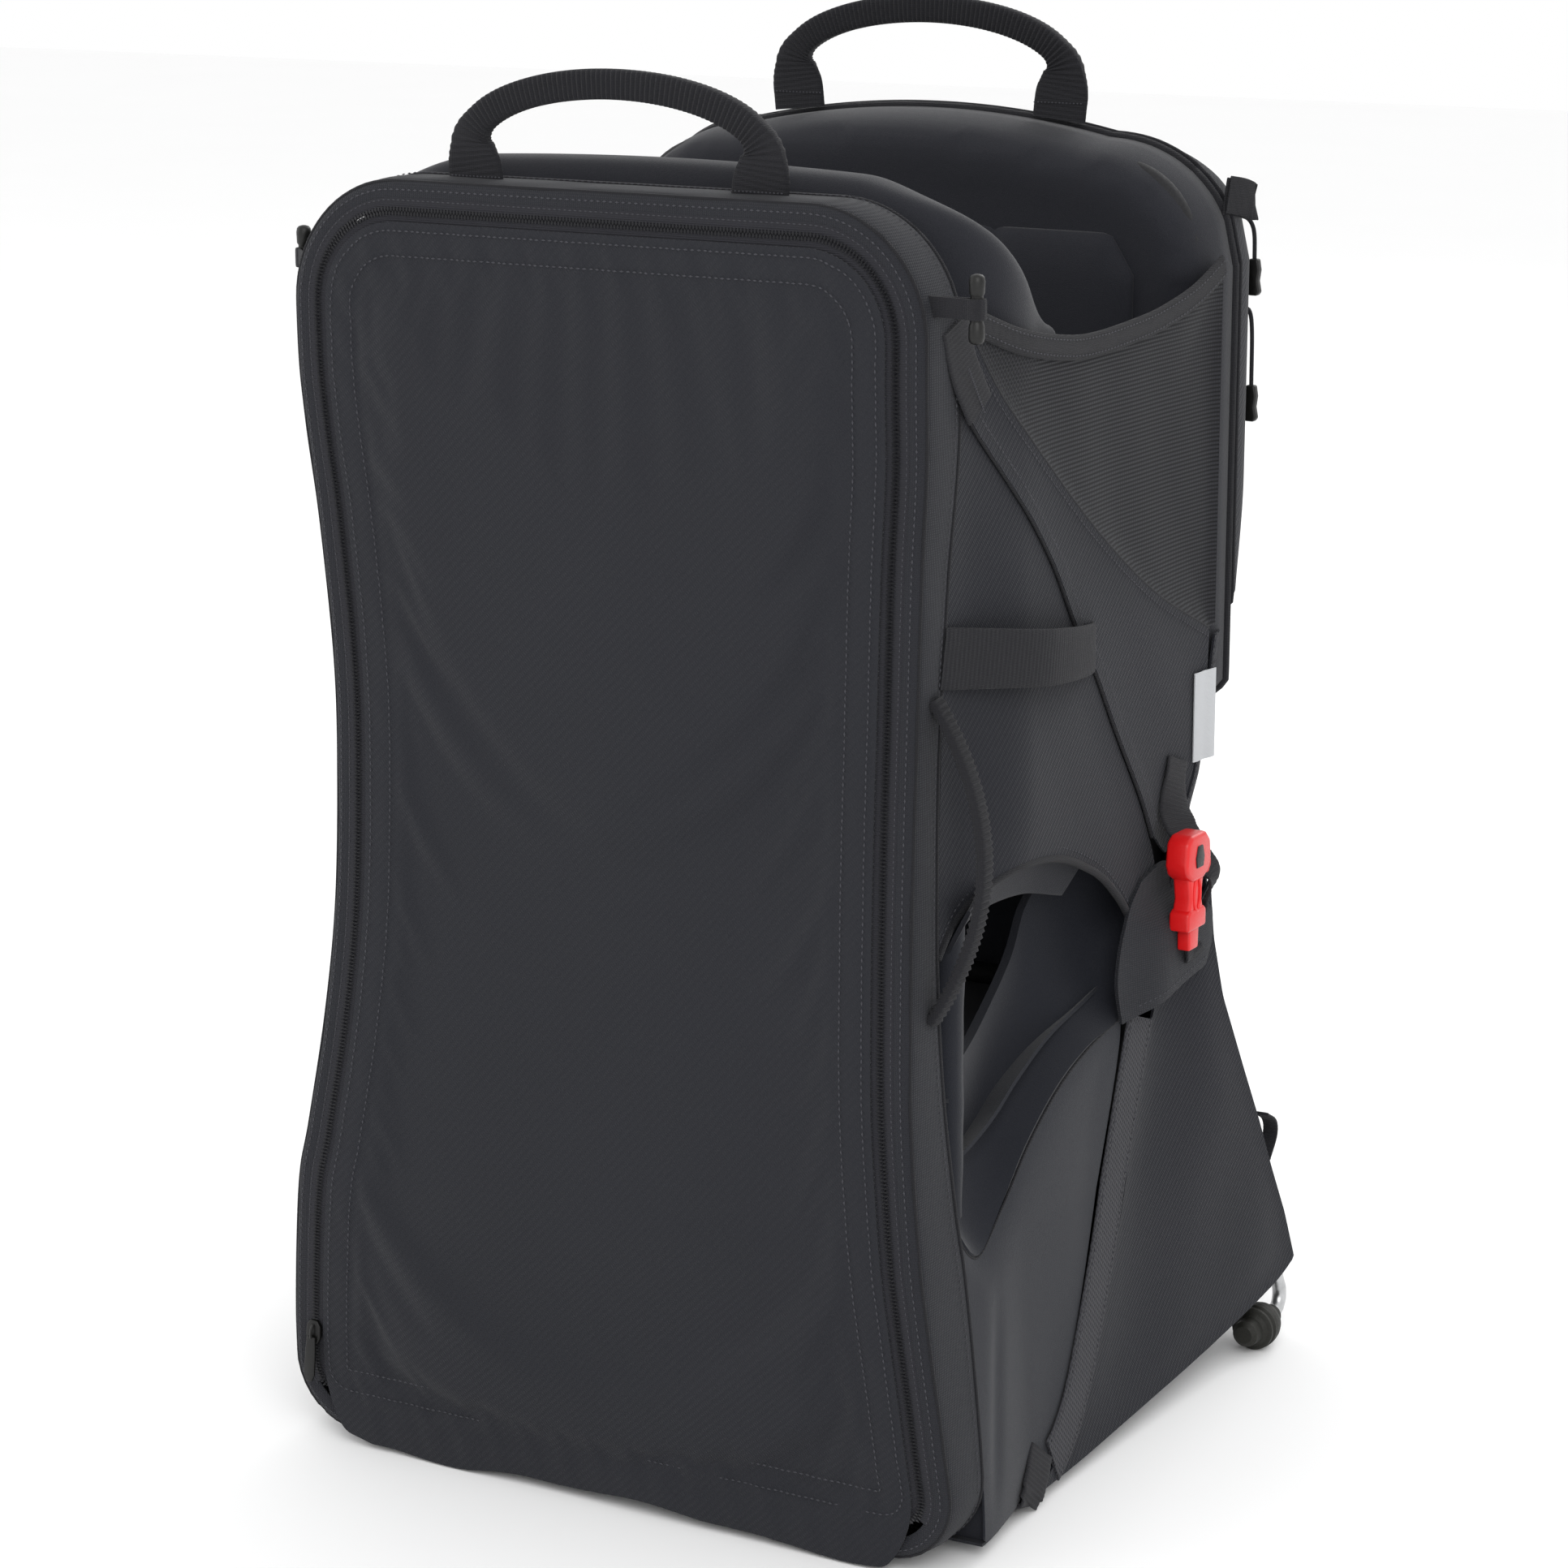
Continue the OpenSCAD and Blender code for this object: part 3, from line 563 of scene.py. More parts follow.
def moulding(name, outline, place, depth, material, bevel=1.0):
    """A moulded piece with rounded edges. place turns (u, v, w) into a point, with w from 0 to depth."""
    n = len(outline)
    verts = [place(u, v, w) for w in (0, depth) for u, v in outline]
    faces = [list(range(n))[::-1], [n + i for i in range(n)]]
    faces += [[i, (i + 1) % n, n + (i + 1) % n, n + i] for i in range(n)]
    obj = mesh_object(name, verts, faces, material)
    mod = obj.modifiers.new("round", "BEVEL")
    mod.width = bevel * MM
    mod.segments = 3
    mod.limit_method = "ANGLE"
    mod.angle_limit = math.radians(30)
    bake(obj)
    obj.data.set_sharp_from_angle(angle=math.radians(35))
    return obj


def ripple(a, b, seed=0.0):
    """Smooth uneven waves, about -1 to 1."""
    return (np.sin(a * 1.0 + 1.7 * np.sin(b * 0.6 + seed)) + 0.6 * np.sin(a * 2.3 + b * 0.9 + 2.1 * seed)
            + 0.4 * np.sin(b * 1.9 - a * 0.7 + 0.7 * seed)) / 2


def mirrored(s, spots):
    """Spots for the left side (s = 1), or mirrored for the right (s = -1)."""
    x, y, z = spots
    return s * x, y, z


SIDES = ((1, "left"), (-1, "right"))

# ---------- driving dimensions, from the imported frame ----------

low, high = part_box("harness_cover")
FRONT_Y = low.y / MM
low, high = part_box("side_mesh_left")
SIDE_X = high.x / MM
low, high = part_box("rear_wall")
REAR_Y, REAR_TOP = high.y / MM, high.z / MM
ZIP_TOP, ZIP_BOTTOM = 667, 22
GUSSET_OUT = 15
ZIP_Y = -209.8
CLOTH = 1.4
TAPE_MIDDLE, TAPE_STITCHES, TOOTH_PITCH = 3.4, 5.6, 1.9
ACROSS, FORWARD, BACK, UP = (1, 0, 0), (0, -1, 0), (0, 1, 0), (0, 0, 1)
TOP_R, BOTTOM_R = 48, 22
HALF_WIDTH = smooth_table([(-20, 187), (22, 187), (75, 183), (145, 175), (178, 169.5), (239, 161.5),
                           (300, 157.5),
                           (370, 156.5), (430, 157.5), (506, 161.5), (560, 166), (606, 167), (720, 167)])
BOW = smooth_table([(-20, 0), (30, -2), (75, -7), (145, -12), (178, -9.5), (239, -3), (300, 3.5), (370, 7),
                    (430, 8),
                    (506, 4), (560, 0), (606, -3), (720, -2)])


def zip_half(z):
    """Half the width between the zipper's two runs at height z."""
    return np.interp(z, *HALF_WIDTH)


def bow(z):
    """How far back the front face lies at height z: hollow at the waist and full over the hip belt."""
    return np.interp(z, *BOW)


def outline(d, step=4.0):
    """The front panel's outline as (x, z), d inside the zipper line, anticlockwise from its lower corner."""
    c = ZIP_BOTTOM + BOTTOM_R
    a = np.radians(np.arange(-90, 1, 6))
    low_arc = np.stack([zip_half(c) - BOTTOM_R + (BOTTOM_R - d) * np.cos(a), c + (BOTTOM_R - d) * np.sin(a)],
                       1)
    z = np.linspace(c + 8, ZIP_TOP - TOP_R - 8, 60)
    side = np.stack([zip_half(z) - d, z], 1)
    c = ZIP_TOP - TOP_R
    a = np.radians(np.arange(0, 91, 6))
    top_arc = np.stack([zip_half(c) - TOP_R + (TOP_R - d) * np.cos(a), c + (TOP_R - d) * np.sin(a)], 1)
    right = np.vstack([low_arc, side, top_arc])
    left = right[::-1] * [-1, 1]
    return resample(np.vstack([right, left]), step, closed=True)


def side_x(y, z):
    """How far out the side cloth lies at (y, z)."""
    front = zip_half(z) + GUSSET_OUT
    rear = SIDE_X + 8 * np.clip((150 - z) / 150, 0, 1)
    t = ease((y + 178) / 70)
    return front * (1 - t) + rear * t


# ---------- front cover and its zipper ----------


def cover_face(x, z, d):
    """The cover's front surface: a shallow crown, a sunk seam and puckers along the edge."""
    swell = 2.2 * crown(d, 90)
    seam = -1.2 * np.exp(-((d - 19) / 2.6) ** 2)
    run = x * 0.55 + z * 0.33
    pucker = ripple(run * 0.55, z * 0.1, 2.0) * np.exp(-((d - 15) / 11) ** 2) * 0.9
    pucker *= 0.45 + 0.9 * ease((z - 560) / 80) + 0.4 * ease((90 - z) / 60)
    slack = ripple(x / 58 + 1, z / 120, 1.0) * 1.6 * ease((d - 20) / 60)
    hem = -5 * np.exp(-((z - 12) / 16) ** 2) * ripple(x / 40, z / 60, 3.0)
    return FRONT_Y + 4.0 + bow(z) - swell - seam - pucker - slack + 0.35 * hem - 2.5 * ease((40 - z) / 30)


def cover_edge():
    """The cover's outline: inside the zipper, with a wavy hem below."""
    edge = outline(5.4, 3.0)
    start, base = 48, ZIP_BOTTOM + 5.4
    hem = np.interp(edge[:, 0], [-186, -168, -150, -90, -20, 40, 70, 105, 165, 186],
                    [26, 8, 2, 2, 7, 7, 6, 2.5, 2.5, 14])
    hem += 1.2 * np.sin(edge[:, 0] / 13)
    low = edge[:, 1] < start
    edge[low, 1] = (hem + (edge[:, 1] - base) * (start - hem) / (start - base))[low]
    return edge


def drape(obj, edge_pinned, shrink=-0.012, frames=18):
    """Lets the cover's cloth go slack between its sewn edges and settle into soft folds."""
    group = obj.vertex_groups.new(name="sewn")
    group.add([int(i) for i in np.nonzero(edge_pinned)[0]], 1.0, "REPLACE")
    mod = obj.modifiers.new("cloth", "CLOTH")
    cloth = mod.settings
    cloth.quality = 6
    cloth.mass = 0.25
    cloth.tension_stiffness = cloth.compression_stiffness = 18
    cloth.shear_stiffness = 8
    cloth.bending_stiffness = 1.2
    cloth.vertex_group_mass = "sewn"
    cloth.shrink_min = shrink
    cloth.effector_weights.gravity = 0.35
    cloth.use_pressure = True
    cloth.uniform_pressure_force = 0.35
    mod.collision_settings.use_self_collision = False
    mod.point_cache.frame_end = frames
    for f in range(1, frames + 1):
        bpy.context.scene.frame_set(f)
    bake(obj)
    bpy.context.scene.frame_set(1)
    return obj


def capped(obj, before, most):
    """Keeps every point within a distance of where it was."""
    co = np.array([v.co for v in obj.data.vertices])
    move = co - before
    length = np.linalg.norm(move, axis=1, keepdims=True)
    co = before + move * np.minimum(1, most * MM / np.maximum(length, 1e-9))
    obj.data.vertices.foreach_set("co", co.ravel())
    obj.data.update()
    return obj


def add_cover():
    edge = cover_edge()
    flat, faces = triangulate(edge, 5.0)
    d = edge_distance(flat, edge)
    spots = points(flat[:, 0], cover_face(flat[:, 0], flat[:, 1], d), flat[:, 1])
    cover = mesh_object("cover_cloth", spots, faces, COVER)
    before = np.array([v.co for v in cover.data.vertices])
    capped(drape(cover, d < 22), before, 3.5)
    subdivide(cover)
    thicken(cover, CLOTH)
    settle(cover, "cover", ["harness_cover"])
    width, length = 2 * zip_half(400) + 26, ZIP_TOP - 4
    for at, name in ((22.0, "cover_stitches"), (9.5, "cover_edge_stitches")):
        row = outline(at, 2.0)
        row = row[row[:, 1] > 30]
        start = np.argmax(np.linalg.norm(np.diff(row, axis=0), axis=1)) + 1
        row = np.vstack([row[start:], row[:start]]) if start < len(row) - 1 else row
        y = cover_face(row[:, 0], row[:, 1], np.full(len(row), at)) - 0.8
        stitches(name, points(row[:, 0], y, row[:, 1]), FORWARD, "cover")


def zip_run(d, step=2.0):
    """The open run of the zipper, from the lower right up and round to the lower left."""
    run = outline(d, step)
    split = np.argmin(np.abs(run[:, 0]) + run[:, 1])
    run = np.roll(run, -split, 0)
    return run[run[:, 1] > ZIP_BOTTOM + 8]


def outward(run):
    t = tangents(run)
    return points(t[:, 1], 0.0, -t[:, 0])


def on_front(line, lift=0.0):
    """A line of (x, z) laid on the front face at the zipper, or lifted off it."""
    return points(line[:, 0], ZIP_Y - lift + bow(line[:, 1]), line[:, 1])


def add_zipper():
    for word, body, side in (("outer", "carrier", 1), ("inner", "cover", -1)):
        run = zip_run(-side * TAPE_MIDDLE)
        tape = sweep(f"zipper_{word}_tape", on_front(run), outward(run), FORWARD, rounded(6.6, 1.0, 4, 10),
                     TAPE)
        settle(tape, body, ["zipper_" + word])
        run = resample(zip_run(-side * TOOTH_PITCH / 2), TOOTH_PITCH)
        across = outward(run)
        run = run + tangents(run) * (TOOTH_PITCH / 2 if side > 0 else 0)
        settle(beads("zipper_teeth_" + word, on_front(run, 1.1), across, FORWARD, (1.7, 0.75, 0.95), COIL),
               body)
        row = zip_run(-side * TAPE_STITCHES)
        stitches("zipper_stitches_" + word, on_front(row, 0.5), FORWARD, body, pitch=3.0, width=0.35)


def add_slider(name, spot, direction, face, body, node):
    """A zipper slider with its bridge; the pull that hangs on it is made separately."""
    up = unit(np.array(face, float))
    along = unit(np.array(direction, float))
    side = np.cross(along, up)
    spot = np.array(spot, float)

    def place(u, v, w):
        return spot + u * side + v * along + w * up

    shield = [(-3.2, -6), (-4.6, -2), (-4.4, 4), (-2.2, 7), (2.2, 7), (4.4, 4), (4.6, -2), (3.2, -6)]
    settle(moulding(name, shield, place, 2.6, PLASTIC, 0.6), body, [node])
    t = np.linspace(0, math.pi, 14)
    bridge = np.array([place(0, -4.5 * math.cos(a), 2.4 + 2.2 * math.sin(a)) for a in t])
    settle(tube(name + "_bridge", bridge, 0.8, PLASTIC), body)
    return place


def add_cover_slider():
    z = 62.0
    lean = math.atan2(float(zip_half(z - 4) - zip_half(z + 4)), 8.0)
    x = -float(zip_half(z))
    place = add_slider("cover_slider_body", (x, ZIP_Y - 1.4 + float(bow(z)), z),
                       (math.sin(lean), 0, math.cos(lean)), FORWARD, "cover_zip_slider", "cover_slider")
    tab = [(-2.6, -2), (-3.2, -10), (-3.4, -24), (-1.8, -28), (1.8, -28), (3.4, -24), (3.2, -10), (2.6, -2)]
    settle(moulding("cover_slider_tab", tab, lambda u, v, w: place(u, v, w + 3.0), 1.6, PLASTIC, 0.5),
           "cover_zip_slider")


# ---------- gusset round the harness bay ----------


def add_gusset():
    loop = outline(0, 4.0)
    t = tangents(loop, closed=True)
    out = points(t[:, 1], 0.0, -t[:, 0])
    path = points(loop[:, 0], 0.0, loop[:, 1])
    profile = np.array([(4.6, 208.6), (7.0, 209.3), (10.0, 209.6), (12.6, 209.0), (14.4, 207.4), (15.2, 205.0),
                        (15.7, 200.0), (16.0, 194.0), (15.8, 187.0), (15.3, 181.0), (14.6, 176.5)])
    shape = np.tile(profile, (len(loop), 1, 1))
    s = np.arange(len(loop)) * 4.0
    depth = np.linspace(0, 1, len(profile))
    shape[..., 1] -= bow(loop[:, 1])[:, None] * ease((profile[:, 1] - 178) / 26)[None]
    shape[..., 0] += 0.55 * ripple(s[:, None] / 17, depth[None] * 5, 4.0) * np.sin(depth * math.pi)[None]
    gusset = thicken(sweep("gusset_cloth", path, out, FORWARD, shape, GUSSET, closed=True, hollow=True), 1.3)
    settle(gusset, "carrier", ["harness_gusset"])
    sewn(gusset, (46, len(loop) * 4.0))
    for name, reach, y, r in (("piping_front", 14.8, -207.4, 1.0), ("piping_rear", 15.4, -178.0, 1.3)):
        line = path + out * reach
        line[:, 1] = y + bow(loop[:, 1]) * (y < -200)
        settle(tube(name, line, r, BINDING, closed=True), "carrier")
    for name, reach, y in (("gusset_stitches_front", 10.8, -210.2), ("gusset_stitches_rear", 16.6, -183.5)):
        line = path + out * reach
        line[:, 1] = y + bow(loop[:, 1]) * (1.0 if y < -200 else 0.12)
        above = loop[:, 1] > 20
        line = line[above]
        gap = np.argmax(np.linalg.norm(np.diff(line, axis=0), axis=1)) + 1
        facing = FORWARD if reach < 12 else np.roll(out[above], -gap, 0)
        stitches(name, np.roll(line, -gap, 0), facing, "carrier")


# ---------- carry handles ----------

HANDLE_HALF, HANDLE_RISE, HANDLE_FOOT = 84, 31, 81


def add_handle(name, y, z, body):
    """Webbing sewn flat at both ends and folded double into a grip between them."""
    a = np.radians(np.linspace(0, 180, 61))
    arch = points(HANDLE_HALF * np.cos(a), y, z + 16 + HANDLE_RISE * np.sin(a))
    foot = np.array([[HANDLE_FOOT, y, z - 10], [82, y, z], [83.5, y, z + 9]], float)
    path = np.vstack([foot, arch, foot[::-1] * [-1, 1, 1]])
    path = resample(path, 3.0)
    s = np.linspace(-1, 1, len(path))
    flat = ease((np.abs(s) - 0.66) / 0.24)
    width = 15 + 17 * flat
    thick = 8.5 - 5.8 * flat
    t = tangents(path)
    across = np.cross(t, [0, 1.0, 0])
    settle(webbing(name, path, across, width, thick, rib=2.8, depth=0.14), body, [body])
    for k in (1, -1):
        row = points(k * HANDLE_FOOT + np.array([-14, 14]), y - 1.7, z - 1)
        stitches(f"{name}_tack_{'left' if k > 0 else 'right'}", row, FORWARD, body, pitch=2.2, width=0.5)


def add_handles():
    for end in ("front", "rear"):
        low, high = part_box(end + "_handle")
        add_handle(end + "_grip", (low.y + high.y) / 2 / MM, low.z / MM, end + "_handle")


# ---------- cockpit ----------


def plan_path(half, front_y, end_y, radius, step=5.0):
    """A U in plan, open to the rear when front_y < end_y, with rounded corners."""
    way = 1 if end_y > front_y else -1
    a = np.radians(np.arange(0, 91, 9))
    arc = np.stack([half - radius + radius * np.cos(a), front_y + way * (radius - radius * np.sin(a))], 1)
    right = np.vstack([[[half, end_y]], arc])
    return resample(np.vstack([right, right[::-1] * [-1, 1]]), step)


def add_collar():
    """Padded rim behind the front panel that runs back along both sides."""
    plan = plan_path(170, -148, -64, 46)
    t = tangents(plan)
    out = np.stack([t[:, 1], -t[:, 0]], 1)
    out *= np.sign((out * (plan - [0, -60])).sum(1))[:, None]
    y, x = plan[:, 1], np.abs(plan[:, 0])
    back = ease((y + 150) / 85)
    top = 694 - 7 * (x / 170) ** 2 - 62 * back ** 1.2 - 12 * ease((x - 110) / 60)
    low = 612 - 40 * back
    half_thick = 20 - 11 * ease((y + 140) / 60)
    path = points(plan[:, 0], plan[:, 1], (top + low) / 2)
    across = points(out[:, 0], out[:, 1], 0.0)
    base = rounded(2, 2, 3.2, 28)
    shape = base[None] * np.stack([half_thick, (top - low) / 2], 1)[:, None]
    collar = sweep("front_collar", path, across, UP, shape, LINING)
    subdivide(collar)
    settle(collar, "carrier", ["front_pad"])


def wall_top(x):
    x = np.abs(x)
    bend = np.sqrt(np.maximum(0, 1 - (np.clip(x - 112.5, 0, 74) / 74) ** 2))
    return np.where(x < 112.5, REAR_TOP - 12 * (x / 112.5) ** 2, REAR_TOP - 78 + 66 * bend)


def arch_edge(d, low_z):
    x = np.linspace(SIDE_X - d, -(SIDE_X - d), 61)
    top = wall_top(x * SIDE_X / (SIDE_X - d)) - d
    arch = np.stack([x, np.maximum(top, low_z + 30)], 1)
    return resample(np.vstack([arch, [[-(SIDE_X - d), low_z + 12], [-(SIDE_X - d) + 14, low_z],
                                      [SIDE_X - d - 14, low_z], [SIDE_X - d, low_z + 12]]]), 5.0, closed=True)


def add_rear_wall():
    """Thick head wall, padded forward over the top of the seat hoop."""
    edge = arch_edge(2.5, 384)

    def place(x, z, d, face):
        hollow = 3.5 * crown(np.maximum(d - 30, 0), 90) + 0.8 * ripple(x / 60, z / 80, 5.5) * ease(d / 40)
        inner = REAR_Y - 2 - 46 * crown(d, 17) + hollow
        return x, np.where(face > 0, inner, REAR_Y - 2 + 2 * crown(d, 12)), z

    pad("head_wall_pad", edge, place, LINING, 7.0, nodes=["rear_wall"])
    rim = points(edge[:, 0], REAR_Y - 1.0, edge[:, 1])
    settle(tube("head_wall_binding", rim, 2.6, BINDING, closed=True), "carrier")


def add_rear_pocket():
    edge = arch_edge(0.5, 428)

    def place(x, z, d, face):
        deep = 26 * crown(d, 9) * (0.5 + 0.5 * ease((z - 424) / 80)) * (0.25 + 0.75 * ease((704 - z) / 40))
        soft = 1.3 * ripple(x / 45, z / 60, 5.0) * ease(d / 30)
        return x, REAR_Y + 1.0 + np.where(face < 0, deep + soft, 0), z

    pad("rear_pocket_cloth", edge, place, SIDE, 7.0, nodes=["rear_pocket"])
    line = points(edge[:, 0], REAR_Y + 2.0, edge[:, 1])
    settle(tube("rear_pocket_piping", line, 1.1, BINDING, closed=True), "carrier")
    for word in ("upper", "lower"):
        low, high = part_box("rear_slider_" + word)
        z = (low.z + high.z) / 2 / MM
        x = np.linspace(-166, 166, 170)
        path = points(x, REAR_Y + 27.2, z)
        tape = sweep("rear_zipper_" + word, path, UP, BACK, rounded(14, 1.2, 4, 10), TAPE)
        settle(tape, "carrier", ["rear_zippers"] if word == "upper" else [])
        spots = resample(path, 0.95)
        side = np.where(np.arange(len(spots)) % 2 == 0, 1.0, -1.0)
        spots[:, 2] += side * 0.9
        spots[:, 1] += 1.0
        settle(beads("rear_zipper_teeth_" + word, spots, UP, BACK, (1.6, 0.7, 0.8), COIL), "carrier")
        for k in (-1, 1):
            row = path + [0, 0.4, k * 5.2]
            stitches(f"rear_zipper_stitches_{word}_{'top' if k > 0 else 'low'}", row, BACK, "carrier",
                     3.0, 0.35)
        add_slider(f"rear_slider_{word}_body", ((low.x + high.x) / 2 / MM - 1, REAR_Y + 28.4, z), ACROSS,
                   (0, 1, 0),
                   "rear_slider_" + word, "rear_slider_" + word)
        add_pull(word)


def add_pull(word):
    """A cord loop with a moulded end, hanging from a rear slider."""
    body = "rear_pull_" + word
    low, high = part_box(body)
    y, start, aside = (low.y + high.y) / 2 / MM, low.x / MM, high.x / MM - 4
    top, end = high.z / MM - 2, low.z / MM
    way = curve([(start, y - 6, top), (start + 6, y - 1, top + 1), (aside - 1, y, top - 6),
                 (aside, y, end + 17)], 1.5)
    cord = settle(tube(body + "_cord", way, 1.25, WEB), body, [body])
    shape = [(-2.6, 20), (-3.6, 14), (-2.8, 8), (-4.0, 2), (-2.5, 0), (2.5, 0), (4.0, 2), (2.8, 8),
             (3.6, 14), (2.6, 20)]
    grip = moulding(body + "_end", shape, lambda u, v, w: (aside + u, y - 2.4 + w, end + v), 4.8, PLASTIC,
                    1.0)
    settle(grip, body)


def add_rear_shell():
    """Cloth that closes the rear below the head wall and turns the corners to the sides."""
    heights = np.linspace(426, 298, 34)
    back = np.interp(heights, [298, 331, 366, 400, 426], [91, 98, 113, 126, 133.5])
    front = np.interp(heights, [298, 318, 352, 397, 426], [56, 60, 86, 103, 112])
    half = np.interp(heights, [298, 340, 426], [189, 188, SIDE_X])
    rows = []
    for z, b, f, h in zip(heights, back, front, half):
        r = max(6.0, min(24.0, b - f - 2))
        plan = plan_path(h, b, f, r, 4.0)
        plan = resample(plan, np.linalg.norm(np.diff(plan, axis=0), axis=1).sum() / 110)
        rows.append(points(plan[:, 0], plan[:, 1], z))
    n = min(len(r) for r in rows)
    grid = np.array([r[np.linspace(0, len(r) - 1, n).round().astype(int)] for r in rows])
    grid[:, :, 1] += 1.4 * ripple(grid[:, :, 0] / 38, grid[:, :, 2] / 30, 6.0) * (np.abs(grid[:, :, 0]) < 160)
    shell = grid_sheet("rear_lower_cloth", grid, SIDE, CLOTH)
    settle(shell, "carrier", ["rear_lower_panel"])
    sewn(shell, (140, 450))
    for s, word in SIDES:
        line = points(s * (half + 0.8), front + 1.5, heights)
        stitches("rear_corner_stitches_" + word, line, (s, 0, 0), "carrier")
    seam = grid[4] + [0, 0.6, 0]
    settle(tube("rear_cross_seam", seam, 1.0, BINDING), "carrier")


def add_frame_sleeves():
    """Cloth channels that hide the back frame's uprights behind the harness bay."""
    low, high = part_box("back_frame_tube")
    x, y = high.x / MM - 8, (low.y + high.y) / 2 / MM
    for s, word in SIDES:
        z = np.linspace(22, 600, 120)
        path = points(s * x, y, z)
        swell = 10.8 + 0.5 * ripple(z / 14, z / 37, 13.0)
        shape = rounded(2, 2, 2, 20)[None] * swell[:, None, None]
        settle(sweep("frame_sleeve_" + word, path, ACROSS, BACK, shape, SEAT_CLOTH), "carrier")


# ---------- sides ----------

SEAM_FRONT = [(-175.5, 589), (-168, 578), (-129, 541), (-88, 499), (-60, 461), (-35, 431), (-10, 396),
              (21, 355),
              (37, 329)]
SEAM_MESH = [(-169, 621), (-135, 582), (-81, 538), (-24, 497), (36, 461), (103, 431)]
MESH_TOP = [(112.5, 625), (78, 613), (40, 606), (9, 603), (-40, 601), (-74, 603), (-120, 611), (-160, 624)]
LEG_ARCH = [(44, 309), (38, 297), (19, 286), (0, 303), (-22, 320), (-46, 332), (-70, 341), (-95, 346),
            (-120, 347),
            (-140, 342), (-160, 330), (-177, 312)]
LOWER_EDGE = [(-177, 172), (-165, 156), (-150, 155), (-125, 172), (-98, 196), (-64, 217), (-30, 229),
              (8, 236)]
TAPE_FRONT = [(8, 236), (-10, 185), (-29, 135), (-49, 88), (-73, 42), (-96, 20), (-133, 10)]
TAPE_REAR = [(42, 229), (26, 185), (8, 135), (-16, 88), (-42, 46), (-70, 22), (-106, 8)]


def seam_distance(y, z, seam):
    return line_distance(np.stack([y, z], 1), curve(seam, 6.0))


def on_side(line, lift=0.0):
    """A line of (y, z) laid on the left side's cloth."""
    line = np.array(line, float)
    return points(side_x(line[:, 0], line[:, 1]) + lift, line[:, 0], line[:, 1])


def side_line(s, line, lift):
    """A line of (y, z) laid on one side's cloth."""
    return on_side(line, lift) * [s, 1, 1]


def add_side_panels(s, word):
    front = curve(SEAM_FRONT)
    arch = curve(LEG_ARCH)
    edge = resample(np.vstack([front, arch]), 4.0, closed=True)

    def front_face(y, z, d):
        sunk = 1.2 * np.exp(-seam_distance(y, z, SEAM_FRONT) / 8)
        bulge = 3.0 * np.exp(-(((y + 120) / 60) ** 2 + ((z - 400) / 60) ** 2))
        fold = 0.9 * ripple(y / 26 + z / 60, z / 45, 7.0) * ease(d / 20)
        return mirrored(s, (side_x(y, z) - sunk + bulge + fold - 0.5, y, z))

    sewn_panel("front_side_cloth_" + word, edge, front_face, SIDE, "front_side_" + word)

    mesh_line = curve(SEAM_MESH)
    wing = np.vstack([curve(SEAM_FRONT)[::-1], [[-175, 600], [-174, 618]], mesh_line,
                      curve([(101, 397), (84, 352), (54, 316)])])
    edge = resample(wing, 4.0, closed=True)

    def wing_face(y, z, d):
        roll = 1.0 * np.exp(-((seam_distance(y, z, SEAM_FRONT) - 3) / 4) ** 2)
        taut = -1.5 * crown(d, 40) + 0.7 * ripple((y + z) / 30, (y - z) / 50, 8.0) * ease(d / 18)
        return mirrored(s, (side_x(y, z) + 0.7 + roll + taut, y, z))

    sewn_panel("wing_cloth_" + word, edge, wing_face, SIDE, "side_wing_" + word)

    top = curve(MESH_TOP)
    edge = resample(np.vstack([mesh_line + [0.6, 0.6], [[113, 431]], top]), 4.0, closed=True)

    def mesh_face(y, z, d):
        hollow = 5.0 * crown(d, 60) * ease((640 - z) / 60)
        wave = 0.8 * ripple(y / 22, z / 40, 9.0) * ease(d / 15)
        return mirrored(s, (side_x(y, z) - hollow + wave - 0.4, y, z))

    sewn_panel("side_net_" + word, edge, mesh_face, NET, "side_mesh_" + word,
               thick=1.0)

    for name, line, lift, r in (("wing_front_piping_", front, 0.6, 0.9),
                                ("wing_rear_piping_", mesh_line, 0.6, 0.9),
                                ("leg_arch_binding_", arch, 0.2, 2.2)):
        settle(tube(name + word, side_line(s, line, lift), r, BINDING), "carrier")
    for name, line, lift, first in (("wing_front_stitches_", front + [5.0, 3.5], 2.2, 3),
                                    ("wing_rear_stitches_", mesh_line - [2.0, 4.0], 1.0, 3),
                                    ("leg_arch_stitches_", arch + [0, 6.0], 0.5, 8)):
        stitches(name + word, side_line(s, line, lift)[first:], (s, 0, 0), "carrier")
    rim = side_line(s, top, 0.0)
    t = tangents(rim)
    across = unit(np.cross(t, [1.0, 0, 0]))
    hem = rounded(13, 3.0, 3, 14)
    settle(sweep("mesh_top_elastic_" + word, rim, across, np.cross(t, across), hem, BINDING), "carrier")
    for k, row in ((-1, "low"), (1, "top")):
        line = side_line(s, top + [0, k * 4.0], 1.6)
        stitches(f"mesh_top_stitches_{word}_{row}", line, (s, 0, 0), "carrier")


